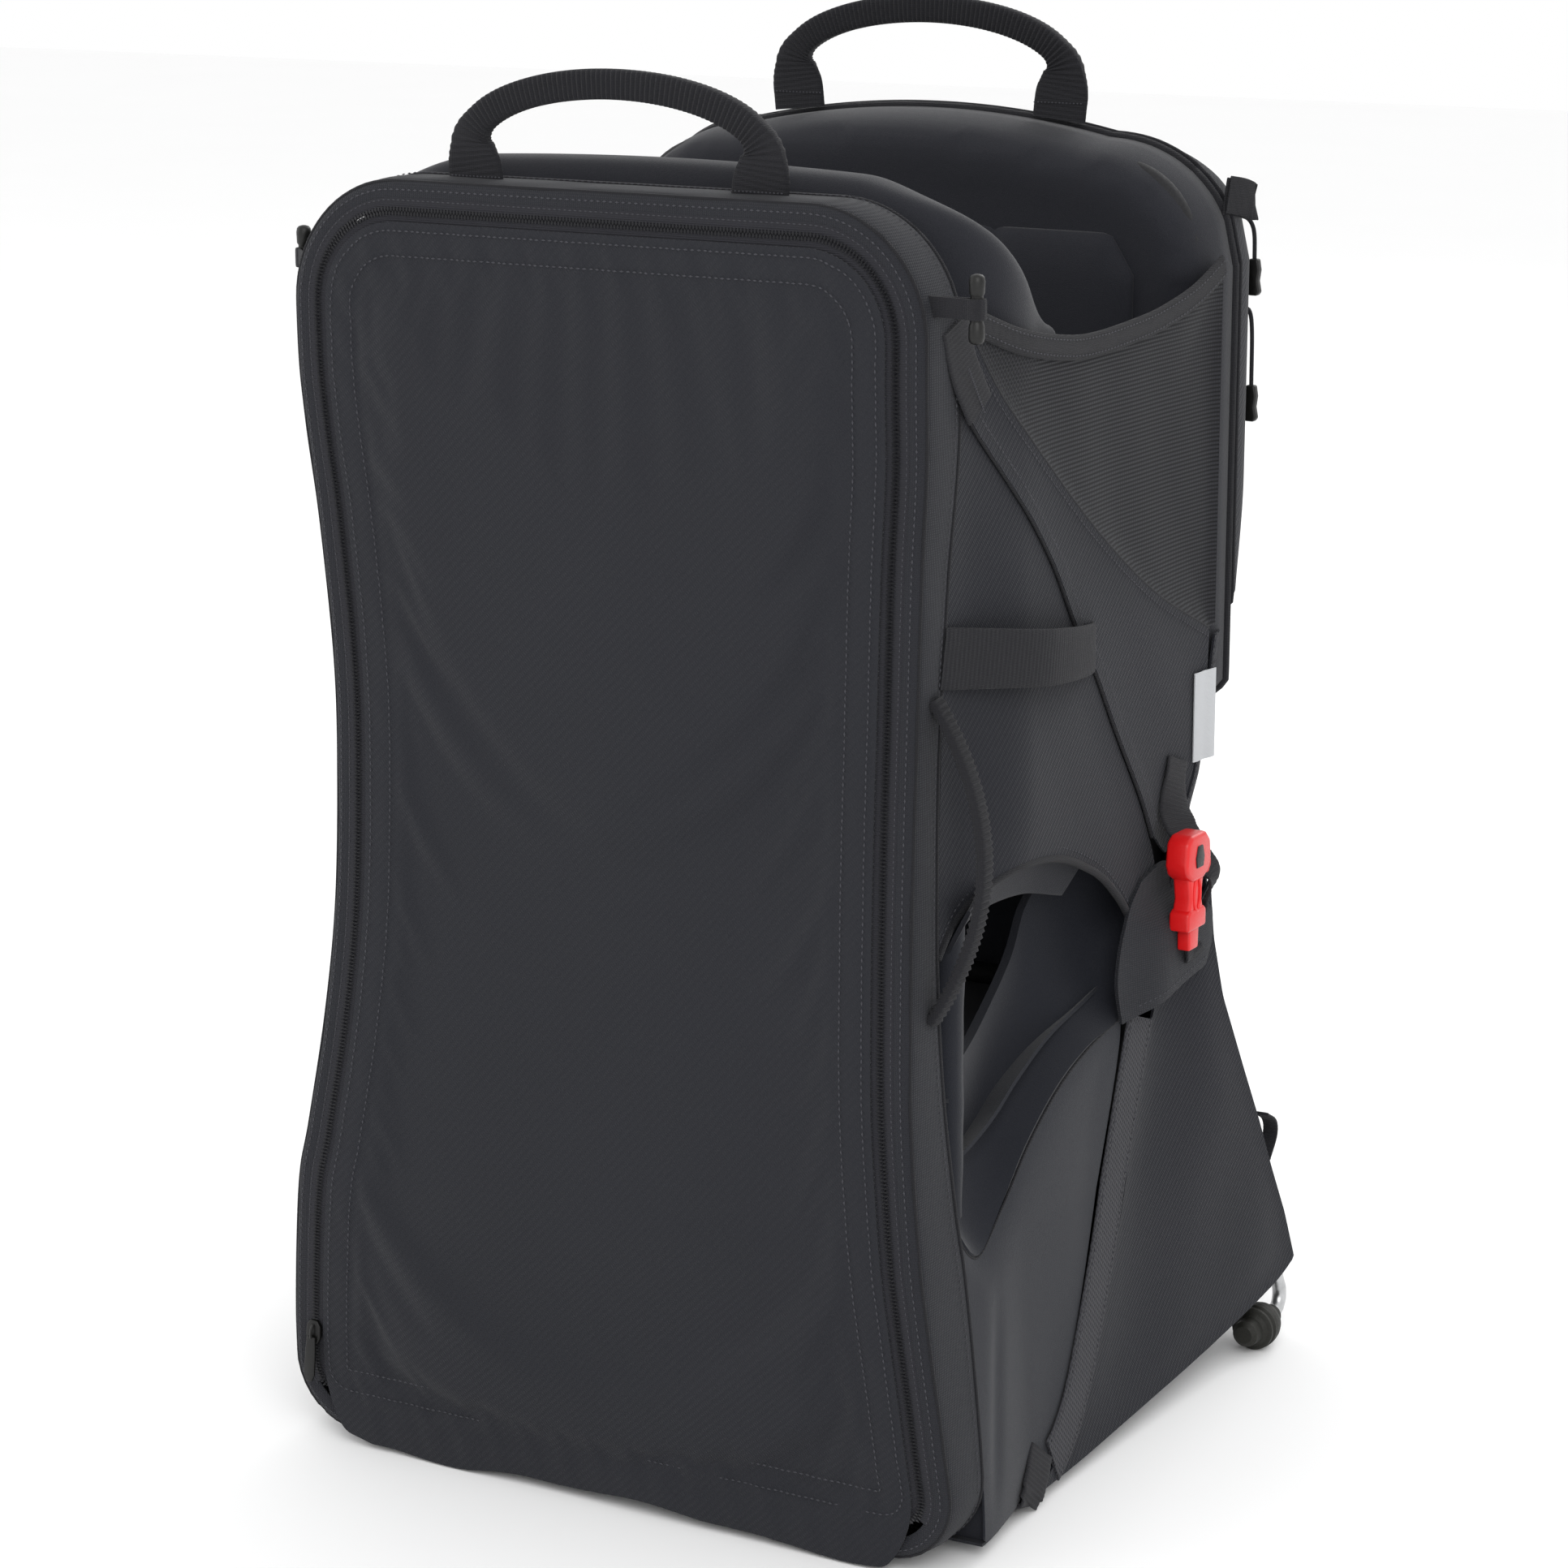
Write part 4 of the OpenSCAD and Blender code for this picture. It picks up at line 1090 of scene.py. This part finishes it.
def add_lower_side(s, word):
    drop = curve(LOWER_EDGE)
    tape = curve(TAPE_FRONT)
    edge = resample(np.vstack([drop, tape, [[-177, 10]]]), 4.0, closed=True)

    def face(y, z, d):
        roll = 2.4 * np.exp(-seam_distance(y, z, LOWER_EDGE) / 10)
        crease = 1.6 * np.exp(-((y + 150 - 0.16 * (z - 100)) / 7) ** 2) * ease((150 - z) / 60) * ease(z / 60)
        soft = 1.4 * ripple(y / 40, z / 55, 10.0) * ease(d / 25)
        return mirrored(s, (side_x(y, z) - roll - crease + soft, y, z))

    sewn_panel("lower_side_cloth_" + word, edge, face, SEAT_CLOTH, "lower_side_" + word)
    seam = side_line(s, drop, -2.0)
    settle(tube("leg_seam_" + word, seam, 0.7, BINDING), "carrier")

    middle = (evenly(curve(TAPE_FRONT), 80) + evenly(curve(TAPE_REAR), 80)) / 2
    path = on_side(middle, 1.4)
    path = path[path[:, 2] > 19]
    t = tangents(path)
    across = unit(np.cross(t, [1.0, 0, 0]))
    strip = sweep("edge_tape_" + word, path * [s, 1, 1], across * [s, 1, 1], np.cross(t, across) * [s, 1, 1],
                  rounded(31, 1.8, 6, 16), BRAID)
    settle(strip, "carrier", ["edge_tapes"] if s > 0 else [])
    for k, side in ((-1, "rear"), (1, "front")):
        stitches(f"edge_tape_stitches_{side}_{word}", (path + across * k * 12.5 + [1.1, 0, 0]) * [s, 1, 1],
                 (s, 0, 0),
                 "carrier")
    tab = np.array([[188, -98, 30], [190, -106, 20], [191, -113, 12], [190, -117, 7], [184, -119, 5],
                    [170, -119, 5]], float)
    tab[:, 0] += 6
    settle(webbing("tape_end_" + word, resample(tab, 3.0) * [s, 1, 1], (0, 1, -0.25), 26, 2.6), "carrier")


def add_leg_pad(s, word):
    """Padded side of the seat, from the drop-shaped seam up and in to the seat."""
    outer = evenly(on_side(curve(LOWER_EDGE + [(20, 260), (34, 290)], 5.0), -3.0), 48)
    inner = evenly(curve([(172, -168, 236), (160, -140, 242), (150, -94, 252), (145, -49, 277),
                          (145, -29, 304), (152, -3, 320),
                          (178, 34, 322)], 4.0), 48)
    t = np.linspace(0, 1, 22)[:, None, None]
    belly = np.sin(t * math.pi)
    grid = outer[None] * (1 - t) + inner[None] * t
    grid[..., 0] -= (belly * 10)[..., 0]
    grid[..., 2] -= (belly * 8)[..., 0]
    side = grid_sheet("leg_pad_" + word, grid * [s, 1, 1], SEAT_CLOTH, 5.0)
    settle(side, "carrier", ["leg_pads"] if s > 0 else [])
    fold = evenly(curve([(178, -166, 324), (172, -126, 335), (170, -71, 333), (172, -25, 322)]), 40)
    tilt = np.array([0.45, 0.1, 0.9])
    settle(webbing("leg_arch_facing_" + word, fold * [s, 1, 1], tilt * [s, 1, 1], 30, 2.4, material=LINING,
                   depth=0.02), "carrier")
    z = np.linspace(9, 322, 60)
    inner_x = zip_half(z) + GUSSET_OUT - 21
    settle(webbing("gusset_backing_" + word, points(s * inner_x, -172.5, z), ACROSS, 38, 1.8,
                      material=LINING, depth=0.02), "carrier")


def add_seat_sling():
    """Cloth hull under the child that joins the two leg pads."""
    rim = evenly(curve([(-168, 198), (-138, 205), (-112, 214), (-88, 226), (-50, 240), (0, 250), (52, 262),
                        (80, 300)]), 36)
    u = np.linspace(-1, 1, 41)
    grid = np.zeros((len(rim), len(u), 3))
    grid[..., 0] = u[None] * 172
    grid[..., 1] = rim[:, None, 0]
    grid[..., 2] = rim[:, None, 1] - 26 * (1 - u[None] ** 4) + 1.2 * ripple(u[None] * 6,
                                                                            rim[:, None, 0] / 30, 14.0)
    sling = settle(grid_sheet("seat_sling", grid, SEAT_CLOTH, 1.8), "carrier")
    sewn(sling, (344, 280))


def add_side_webbing(s, word):
    t = np.linspace(0, 1, 40)
    y = -180 + 140 * t
    z = 464 - 18 * t
    x = side_x(y, z) + 1.2 + 13.5 * np.sin(t * math.pi) ** 0.8
    settle(webbing("side_grip_" + word, points(x, y, z) * [s, 1, 1], UP, 31 - 5 * t, 2.6), "carrier",
           ["side_grips"] if s > 0 else [])
    row = np.array([[float(side_x(-42, z0)) + 3.4, -42, z0] for z0 in np.linspace(436, 458, 8)])
    stitches("side_grip_tack_" + word, row * [s, 1, 1], (s, 0, 0), "carrier", pitch=1.8, width=0.7)
    t = np.linspace(-1, 1, 48)
    z = 364 - 81 * t
    stand_off = 27 if s > 0 else 5
    x = zip_half(z) + GUSSET_OUT + 2 + stand_off * (1 - t ** 2)
    y = -187 + 5 * (1 - t ** 2)
    settle(webbing("side_strap_" + word, points(x, y, z) * [s, 1, 1], BACK, 10, 5.5, rib=3.4,
                   depth=0.24), "carrier", ["side_straps"] if s > 0 else [])
    patch = np.array([[zip_half(627) + 16.4, -186, 627], [184, -178, 606], [186.8, -166, 584]], float)
    settle(webbing("toggle_patch_" + word, curve(patch, 3.0) * [s, 1, 1], (0, 0.9, 0.35), 26, 2.2), "carrier")
    row = np.array([[187.9, -172 + k, 594 - 1.4 * k] for k in np.linspace(-8, 8, 9)])
    stitches("toggle_patch_tack_" + word, row * [s, 1, 1], (s, 0, 0), "carrier", pitch=1.6, width=0.8)


def add_toggle(s, word):
    """A moulded bar in a narrow webbing loop at the upper corner of the gusset."""
    body = "toggle_" + word
    swing = math.radians(0 if s > 0 else 52)
    root = np.array([182.0, -203.0, 637.0])
    out = np.array([math.cos(swing), math.sin(swing), 0])
    side = np.array([-math.sin(swing), math.cos(swing), 0])
    reach = 22
    a = np.linspace(-math.pi * 0.62, math.pi * 0.62, 20)
    nose = [root + out * (reach + 4.0 * math.cos(k)) + side * 4.0 * math.sin(k) for k in a]
    tail_low = [root + out * d - side * (2.6 - 1.6 * (1 - d / reach)) for d in (-4, 3, 9, 14, 18)]
    tail_top = [root + out * d + side * (2.6 - 1.6 * (1 - d / reach)) for d in (18, 14, 9, 3, -4)]
    path = resample(np.array(tail_low + nose + tail_top), 1.5) * [s, 1, 1]
    settle(webbing(body + "_loop", path, UP, 10, 1.5, rib=2.0, depth=0.12), body, [body])
    profile = [(-16.5, 1.0), (-16, 2.6), (-15, 3.5), (-13, 3.9), (-7.5, 3.7), (-6.4, 3.2), (-5.4, 3.0),
               (5.4, 3.0),
               (6.4, 3.0), (7.5, 3.7), (13, 3.9), (15, 3.5), (16, 2.6), (16.5, 1.0)]
    settle(lathe(body + "_bar", (root + out * reach) * [s, 1, 1], UP, profile, PLASTIC), body)


def add_flap(s, word):
    """Small cloth flap over the stand's pivot."""
    edge = curve([(0, 235), (50, 245), (82, 249)]).tolist() + curve([(82, 249), (90, 264),
                                                                     (88, 290)]).tolist()
    edge += curve([(88, 290), (56, 312), (22, 308)]).tolist() + curve([(22, 308), (4, 292), (-6, 262),
                                                                       (0, 235)]).tolist()
    edge = resample(np.array(edge), 4.0, closed=True)

    def face(y, z, d):
        lift = 198.8 - 10.5 * ease((34 - y) / 38) - 11.5 * ease((z - 278) / 22) * ease((y + 4) / 38)
        return mirrored(s, (lift + 0.8 * crown(d, 12), y, z))

    piece = panel("pivot_flap_" + word, edge, face, GUSSET, 5.0, thick=2.2)
    settle(piece, "carrier", ["hinge_flaps"] if s > 0 else [])
    sewn(piece, np.ptp(edge, axis=0))
    row = curve([(12, 243), (50, 250), (80, 254)], 3.0)
    x = 200.4 - 10.5 * ease((34 - row[:, 0]) / 38)
    stitches("pivot_flap_stitches_" + word, points(s * x, row[:, 0], row[:, 1]), (s, 0, 0), "carrier")


# ---------- storage bag (the real one folds with the stand; these pieces stay in place) ---


def stand_line(z):
    """Rear edge of the bag at height z."""
    return np.interp(z, [30, 46, 75, 108, 140, 179, 226, 262, 298],
                     [207, 203, 190, 171, 154, 131, 104, 92, 87])


def bag_x(y, z):
    tape = np.interp(z, [p[1] for p in TAPE_REAR[::-1]], [p[0] for p in TAPE_REAR[::-1]])
    rear = stand_line(z)
    t = np.clip((y - tape) / np.maximum(rear - tape, 20), 0, 1)
    rear_x = np.interp(z, [40, 298], [205.0, 198.5])
    base = side_x(tape, z) + 0.4
    return base + (rear_x - base) * ease(t)


def fold_with_stand(piece):
    """Bakes a piece of the bag's placement into its mesh; the piece does not follow the stand."""
    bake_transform(piece)
    return piece


def add_storage_bag():
    low_line = curve([(204, 43), (175, 35), (90, 22), (5, 13), (-60, 8), (-106, 7)])
    heights = np.linspace(296, 46, 60)
    rear = np.stack([stand_line(heights), heights], 1)
    for s, word in SIDES:
        edge = resample(np.vstack([rear, low_line, curve(TAPE_REAR)[::-1], [[56, 262]]]), 4.0, closed=True)

        def face(y, z, d, s=s):
            sag = 1.8 * ripple(y / 34 - z / 60, z / 40, 11.0) * ease(d / 25) - 2.5 * crown(d, 70)
            return mirrored(s, (bag_x(y, z) + sag, y, z))

        piece = panel("bag_side_" + word, edge, face, SIDE, 5.0, thick=CLOTH)
        if s > 0:
            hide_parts("storage_bag")
        sewn(fold_with_stand(piece), np.ptp(edge, axis=0))
        way = curve([(199, 166, 140), (200, 175, 134), (199, 179, 124), (199, 170, 112)], 2.0) * [s, 1, 1]
        fold_with_stand(webbing("bag_keeper_" + word, way, ACROSS, 9, 1.8))

    z = np.linspace(298, 42, 54)
    half = np.interp(z, [40, 298], [204.5, 198])
    u = np.linspace(-1, 1, 60)
    lump = (1 - np.abs(u) ** 3)[None] * np.sin(np.clip((298 - z) / 256, 0, 1) * math.pi)[:, None]
    grid = np.zeros((len(z), len(u), 3))
    grid[..., 0] = u[None] * half[:, None]
    grid[..., 1] = stand_line(z)[:, None] + 1.0 - 4 * np.abs(u[None]) ** 8
    grid[..., 1] += lump * (4 + 2.2 * ripple(u[None] * 4, z[:, None] / 38, 12.0))
    grid[..., 2] = z[:, None]
    back = fold_with_stand(grid_sheet("bag_rear", grid, SIDE, CLOTH))
    sewn(back, (404, 300))

    u = np.linspace(-1, 1, 50)
    grid = np.zeros((len(low_line), len(u), 3))
    grid[..., 0] = u[None] * (bag_x(low_line[:, 0], low_line[:, 1]) - 0.4)[:, None]
    grid[..., 1] = low_line[:, None, 0]
    sag = 2.5 * (1 - u[None] ** 2) * np.sin(np.linspace(0, math.pi, len(low_line)))[:, None]
    grid[..., 2] = low_line[:, None, 1] - sag
    sewn(fold_with_stand(grid_sheet("bag_floor", grid, SIDE, CLOTH)), (400, 330))


def add_base():
    """Cloth under the front of the carrier."""
    u, y = np.linspace(-1, 1, 50), np.linspace(-177, -100, 14)
    grid = np.zeros((len(y), len(u), 3))
    grid[..., 0] = u[None] * (side_x(y, np.full(len(y), 12.0)) - 1)[:, None]
    grid[..., 1] = y[:, None]
    grid[..., 2] = 8.5 - 1.5 * (1 - u[None] ** 4)
    base = settle(grid_sheet("base_cloth", grid, GUSSET, 1.6), "carrier")
    sewn(base, (77, 400))


# ---------- side buckles ----------


def add_buckle(s, word):
    """Side-release buckle: a socket with a pressed window, and a plug that slides out downwards."""
    low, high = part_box("buckle_socket_" + word)
    inner = min(abs(low.x), abs(high.x)) / MM

    def place(u, v, w):
        return s * (inner - 4 + w), 46 + 1.12 * u, 303 + 1.08 * v

    def piece(name, shape, from_w, depth, bevel, body, nodes=(), material=RED):
        return settle(moulding(f"{name}_{word}", shape, lambda u, v, w: place(u, v, from_w + w), depth,
                               material, bevel),
                      body, nodes)

    plug_body = "buckle_plug_" + word
    head = [(-12, 7), (-14.5, 12), (-13, 24), (-8, 27), (7, 27), (12, 22), (13.5, 12), (11, 6), (5, 3),
            (-6, 3)]
    piece("buckle_socket_head", head, 0, 13.5, 2.2, "carrier", ["buckle_socket_" + word])
    piece("buckle_socket_button", [(-4, 10), (3, 10), (4, 15), (2, 21), (-3, 21), (-5, 15)], 12.9, 1.3, 0.5,
          "carrier",
          material=PLASTIC)
    piece("buckle_socket_arm", [(8, 4), (8, 12), (19, 12), (21, 9), (21, 4), (18, 2)], 2.5, 7, 1.2, "carrier")
    neck = [(-8, 5), (-6, -6), (-8.5, -14), (-9, -22), (9, -22), (8.5, -14), (6, -6), (8, 5)]
    piece("buckle_plug_neck", neck, 1.5, 10.5, 1.8, plug_body, [plug_body])
    piece("buckle_plug_shoulder", [(-10, -22), (-10, -13), (-7, -11), (7, -11), (10, -13), (10, -22)], 0.8,
          12, 1.6, plug_body)
    piece("buckle_plug_tab", [(-4, -33), (-4.5, -20), (6.5, -20), (6, -33)], 3.0, 7.5, 1.2, plug_body)
    around = np.linspace(0, 2 * math.pi, 32, endpoint=False)
    rib = np.array([place(3.2 * math.cos(a), -4 + 8.5 * math.sin(a), 12.1) for a in around])
    settle(tube("buckle_plug_rib_" + word, rib, 1.0, RED, closed=True), plug_body)
    guard = curve([(inner + 3, 66, 313), (inner + 6, 71, 303), (inner + 4, 66, 290), (inner + 1, 60, 280)],
                  2.0)
    settle(webbing("buckle_guard_" + word, guard * [s, 1, 1], (0, 0.7, 0.7), 14, 2.0), "carrier")
    path = curve([(187.8, 66, 366), (188.6, 61, 352), (191.5, 56, 342), (197, 51, 334), (203, 49, 327)], 2.0)
    settle(webbing("buckle_strap_" + word, path * [s, 1, 1], (0, 1, 0.35), 23, 1.8), "carrier")
    path = curve([(206, 49, 272), (205, 54, 264), (200.8, 66, 258)], 2.0)
    settle(webbing("buckle_tail_" + word, path * [s, 1, 1], BACK, 14, 1.8), "buckle_plug_" + word)


# ---------- wearer's harness behind the cover ----------


def pad_place(y0, depth, radius):
    """Places a pad of a given depth about the plane y0, rounded over a radius at its edge."""
    def place(x, z, d, face):
        return x, y0 - face * depth / 2 * crown(d, radius), z
    return place


def add_harness():
    edge = outline(-GUSSET_OUT + 4, 6.0)

    def board_face(x, z, d):
        return x, -177.0 + 0.6 * ripple(x / 50, z / 50), z

    board = panel("back_board_cloth", edge, board_face, AIR_MESH, 9.0, thick=2.0)
    settle(board, "carrier", ["back_board"])
    pads = []
    for s, word in SIDES:
        shape = [(20, 250), (95, 240), (112, 300), (112, 520), (90, 575), (30, 575), (20, 540)]
        edge = resample(curve([(s * a, b) for a, b in shape + shape[:1]], 5.0)[:-1], 5.0, closed=True)
        pads.append(cushion("back_pad_" + word, edge, pad_place(-181, 9, 22), AIR_MESH, 8.0))
    shape = [(-105, 120), (-80, 96), (80, 96), (105, 120), (112, 190), (80, 215), (-80, 215), (-112, 190)]
    edge = resample(curve(shape + shape[:1], 5.0)[:-1], 5.0, closed=True)
    pads.append(cushion("lumbar_pad", edge, pad_place(-181, 9, 26), AIR_MESH, 8.0))
    for i, piece in enumerate(pads):
        settle(piece, "carrier", ["back_pads"] if i == 0 else [])
    z = np.arange(600, 249, -8.0)
    middle = 62 + 34 * np.sin(np.radians((600 - z) / 350 * 115))
    for s, word in SIDES:
        right = np.stack([s * (middle + 30), z], 1)
        left = np.stack([s * (middle - 30), z], 1)[::-1]
        a = np.radians(np.arange(15, 166, 15))
        cap = np.stack([s * (middle[-1] + 30 * np.cos(a)), 250 - 14 * np.sin(a)], 1)
        edge = resample(np.vstack([right, cap, left]), 5.0, closed=True)
        pad("shoulder_pad_" + word, edge, pad_place(-192, 12, 14), LINING, 7.0,
            nodes=["shoulder_strap_" + word])
        line = points(s * middle, -198.6, z)
        settle(webbing("shoulder_webbing_" + word, line, ACROSS, 24, 1.6), "carrier")
        shape = [(24, 112), (60, 92), (120, 78), (150, 92), (152, 170), (140, 196), (90, 200), (40, 178),
                 (24, 160)]
        edge = resample(curve([(s * a, b) for a, b in shape + shape[:1]], 5.0)[:-1], 5.0, closed=True)
        pad("hip_pad_" + word, edge, pad_place(-194.5, 13, 18), LINING, 7.0, nodes=["hip_belt_" + word])
        settle(webbing("hip_webbing_" + word, np.array([[s * 22, -201, 138], [s * 80, -201.4, 138],
                                                        [s * 146, -200.5, 140]]),
                      (0, 0, 1), 34, 1.8), "carrier")
    shape = [(-23, -16), (-23, 16), (-12, 18), (12, 18), (23, 16), (23, -16), (12, -18), (-12, -18)]
    settle(moulding("hip_buckle_body", shape, lambda u, v, w: (u, -190 - w, 138 + v), 11, PLASTIC, 2.0),
           "carrier", ["hip_buckle"])
    path = np.array([[-86, -199.6, 500], [0, -202, 498], [86, -199.6, 500]], float)
    settle(webbing("chest_strap", curve(path, 4.0), UP, 18, 1.6), "carrier")


# ---------- child's seat ----------


def add_seat():
    shape = [(-50, -138), (50, -138), (54, -20), (100, -12), (138, 18), (134, 34),
             (94, 50), (-94, 50), (-134, 34), (-138, 18), (-100, -12), (-54, -20)]
    edge = resample(shape, 5.0, closed=True)

    def place(x, y, d, face):
        rise = 44 * ease((np.abs(x) - 46) / 96)
        return x, y, 279 + rise + face * 9 * crown(d, 20)

    pad("seat_pad", edge, place, SEAT_CLOTH, 6.0, "seat", nodes=["seat_saddle"])
    shape = [(-140, 336), (140, 336), (146, 360), (146, 620), (132, 642), (-132, 642), (-146, 620), (-146, 360)]
    edge = resample(shape, 6.0, closed=True)

    def back(x, z, d, face):
        middle = np.interp(z, [330, 420, 645], [74, 83, 88])
        quilt = np.exp(-((np.abs(x) - 62) / 5) ** 2) + np.exp(-((z - 480) / 5) ** 2)
        return x, middle - face * (7.5 * crown(d, 26) - 3.5 * quilt * (face > 0)), z

    pad("seat_back_cloth", edge, back, LINING, 7.0, nodes=["seat_back_pad"])
    for s, word in SIDES:
        path = curve([(s * 47, 73, 560), (s * 47, 70, 480), (s * 47, 65, 420), (s * 44, 53, 363),
                      (s * 30, 32, 340), (s * 16, 18, 340)], 4.0)
        settle(webbing("child_strap_" + word, path, ACROSS, 25, 2.0), "seat",
               ["child_harness"] if s > 0 else [])
        shape = [(s * 47 - 17, 436), (s * 47 + 17, 436), (s * 47 + 17, 540), (s * 47 - 17, 540)]
        edge = resample(shape, 4.0, closed=True)

        def on_strap(x, z, d, face):
            return x, np.interp(z, [420, 560], [63, 71]) - face * 3.4 * crown(d, 10), z

        pad("child_strap_pad_" + word, edge, on_strap, LINING, 5.0, "seat")
    shape = [(-17, 0), (-17, 24), (-10, 32), (10, 32), (17, 24), (17, 0), (8, -3), (-8, -3)]
    settle(moulding("child_buckle", shape, lambda u, v, w: (u, 19 - w, 325 + v), 10, RED, 2.0), "seat",
           ["harness_buckle"])
    profile = [(0, 6.5), (1.2, 6.3), (2.2, 5.2), (2.4, 1.0)]
    settle(lathe("child_buckle_button", (0, 10, 340), FORWARD, profile, PLASTIC), "seat")
    path = curve([(0, 14, 322), (0, 6, 306), (0, 0, 290)], 3.0)
    settle(webbing("crotch_strap", path, ACROSS, 25, 2.0), "seat")


# ---------- blank labels ----------


def add_labels():
    """A blank care label on the side seam and a folded tag at the rear corner."""
    columns, rows, height = 12, 16, 49
    t = np.linspace(0, 1, columns)
    low = points(188.0 + (190.5 - 188.0) * t + 0.4 * np.sin(t * 9), 85 + (106 - 85) * t, 360)
    grid = np.array([low + [0, 0, height * k] for k in np.linspace(0, 1, rows)])
    settle(grid_sheet("side_label", grid, LABEL, 0.7), "carrier", ["labels"])
    fold = curve([(180, 131, 661), (184, 141, 659), (186.5, 149, 656), (185, 150.5, 655.5), (182.5, 142, 658),
                  (178, 131, 660)], 1.5)
    settle(webbing("corner_tag", fold, (0.1, 0.25, -1), 20, 1.0, material=BINDING, rib=1.2, depth=0.05), "carrier")


# ---------- frame finishes and surroundings ----------


def finish_frame():
    looks = {"bare_aluminium": METAL, "black_plastic": PLASTIC, "black_rubber": RUBBER}
    hidden_tubes = ("back_frame_tube", "seat_hoop_tube", "crossbars")
    for entry in frame["record"]["subparts"]:
        look = COATED if entry["node"] in hidden_tubes else looks.get(entry["material_slot"])
        node = frame["nodes"][entry["node"]]
        if look and not node.hide_render:
            for i in range(len(node.data.materials)):
                node.data.materials[i] = look


def add_studio():
    floor = mesh_object("floor", np.array([(-9e3, -9e3, -0.3), (9e3, -9e3, -0.3), (9e3, 9e3, -0.3),
                                           (-9e3, 9e3, -0.3)]),
                        [[0, 1, 2, 3]], pale_floor())
    world = bpy.data.worlds.new("studio")
    bpy.context.scene.world = world
    world.use_nodes = True
    world.node_tree.nodes["Background"].inputs[0].default_value = (1, 1, 1, 1)
    world.node_tree.nodes["Background"].inputs[1].default_value = 1.0
    for name, spot, size, power in (("key", (2.2, -3.0, 2.6), 2.4, 70), ("fill", (-3.2, -1.4, 1.8), 2.6, 22),
                                    ("rear", (0.6, 3.2, 2.8), 2.4, 40)):
        data = bpy.data.lights.new(name, "AREA")
        data.size = size
        data.energy = power
        lamp = bpy.data.objects.new(name, data)
        lamp.location = spot
        lamp.rotation_mode = "QUATERNION"
        lamp.rotation_quaternion = (Vector((0, 0, 0.35)) - Vector(spot)).to_track_quat("-Z", "Y")
        bpy.context.scene.collection.objects.link(lamp)
    bpy.context.scene.view_settings.view_transform = "Standard"


def pale_floor():
    s = Shader("pale_floor", Roughness=0.9)
    s.feed(s.out.inputs["Base Color"], s.mix(s.noise(3), rgb(250, 250, 250), rgb(252, 252, 252)))
    return s.mat


add_cover()
add_zipper()
add_cover_slider()
add_gusset()
add_handles()
add_collar()
add_rear_wall()
add_frame_sleeves()
add_rear_pocket()
add_rear_shell()
for side, word in SIDES:
    add_side_panels(side, word)
    add_lower_side(side, word)
    add_leg_pad(side, word)
    add_side_webbing(side, word)
    add_toggle(side, word)
    add_flap(side, word)
    add_buckle(side, word)
add_storage_bag()
add_base()
add_seat_sling()
add_harness()
add_seat()
add_labels()
finish_frame()
add_studio()
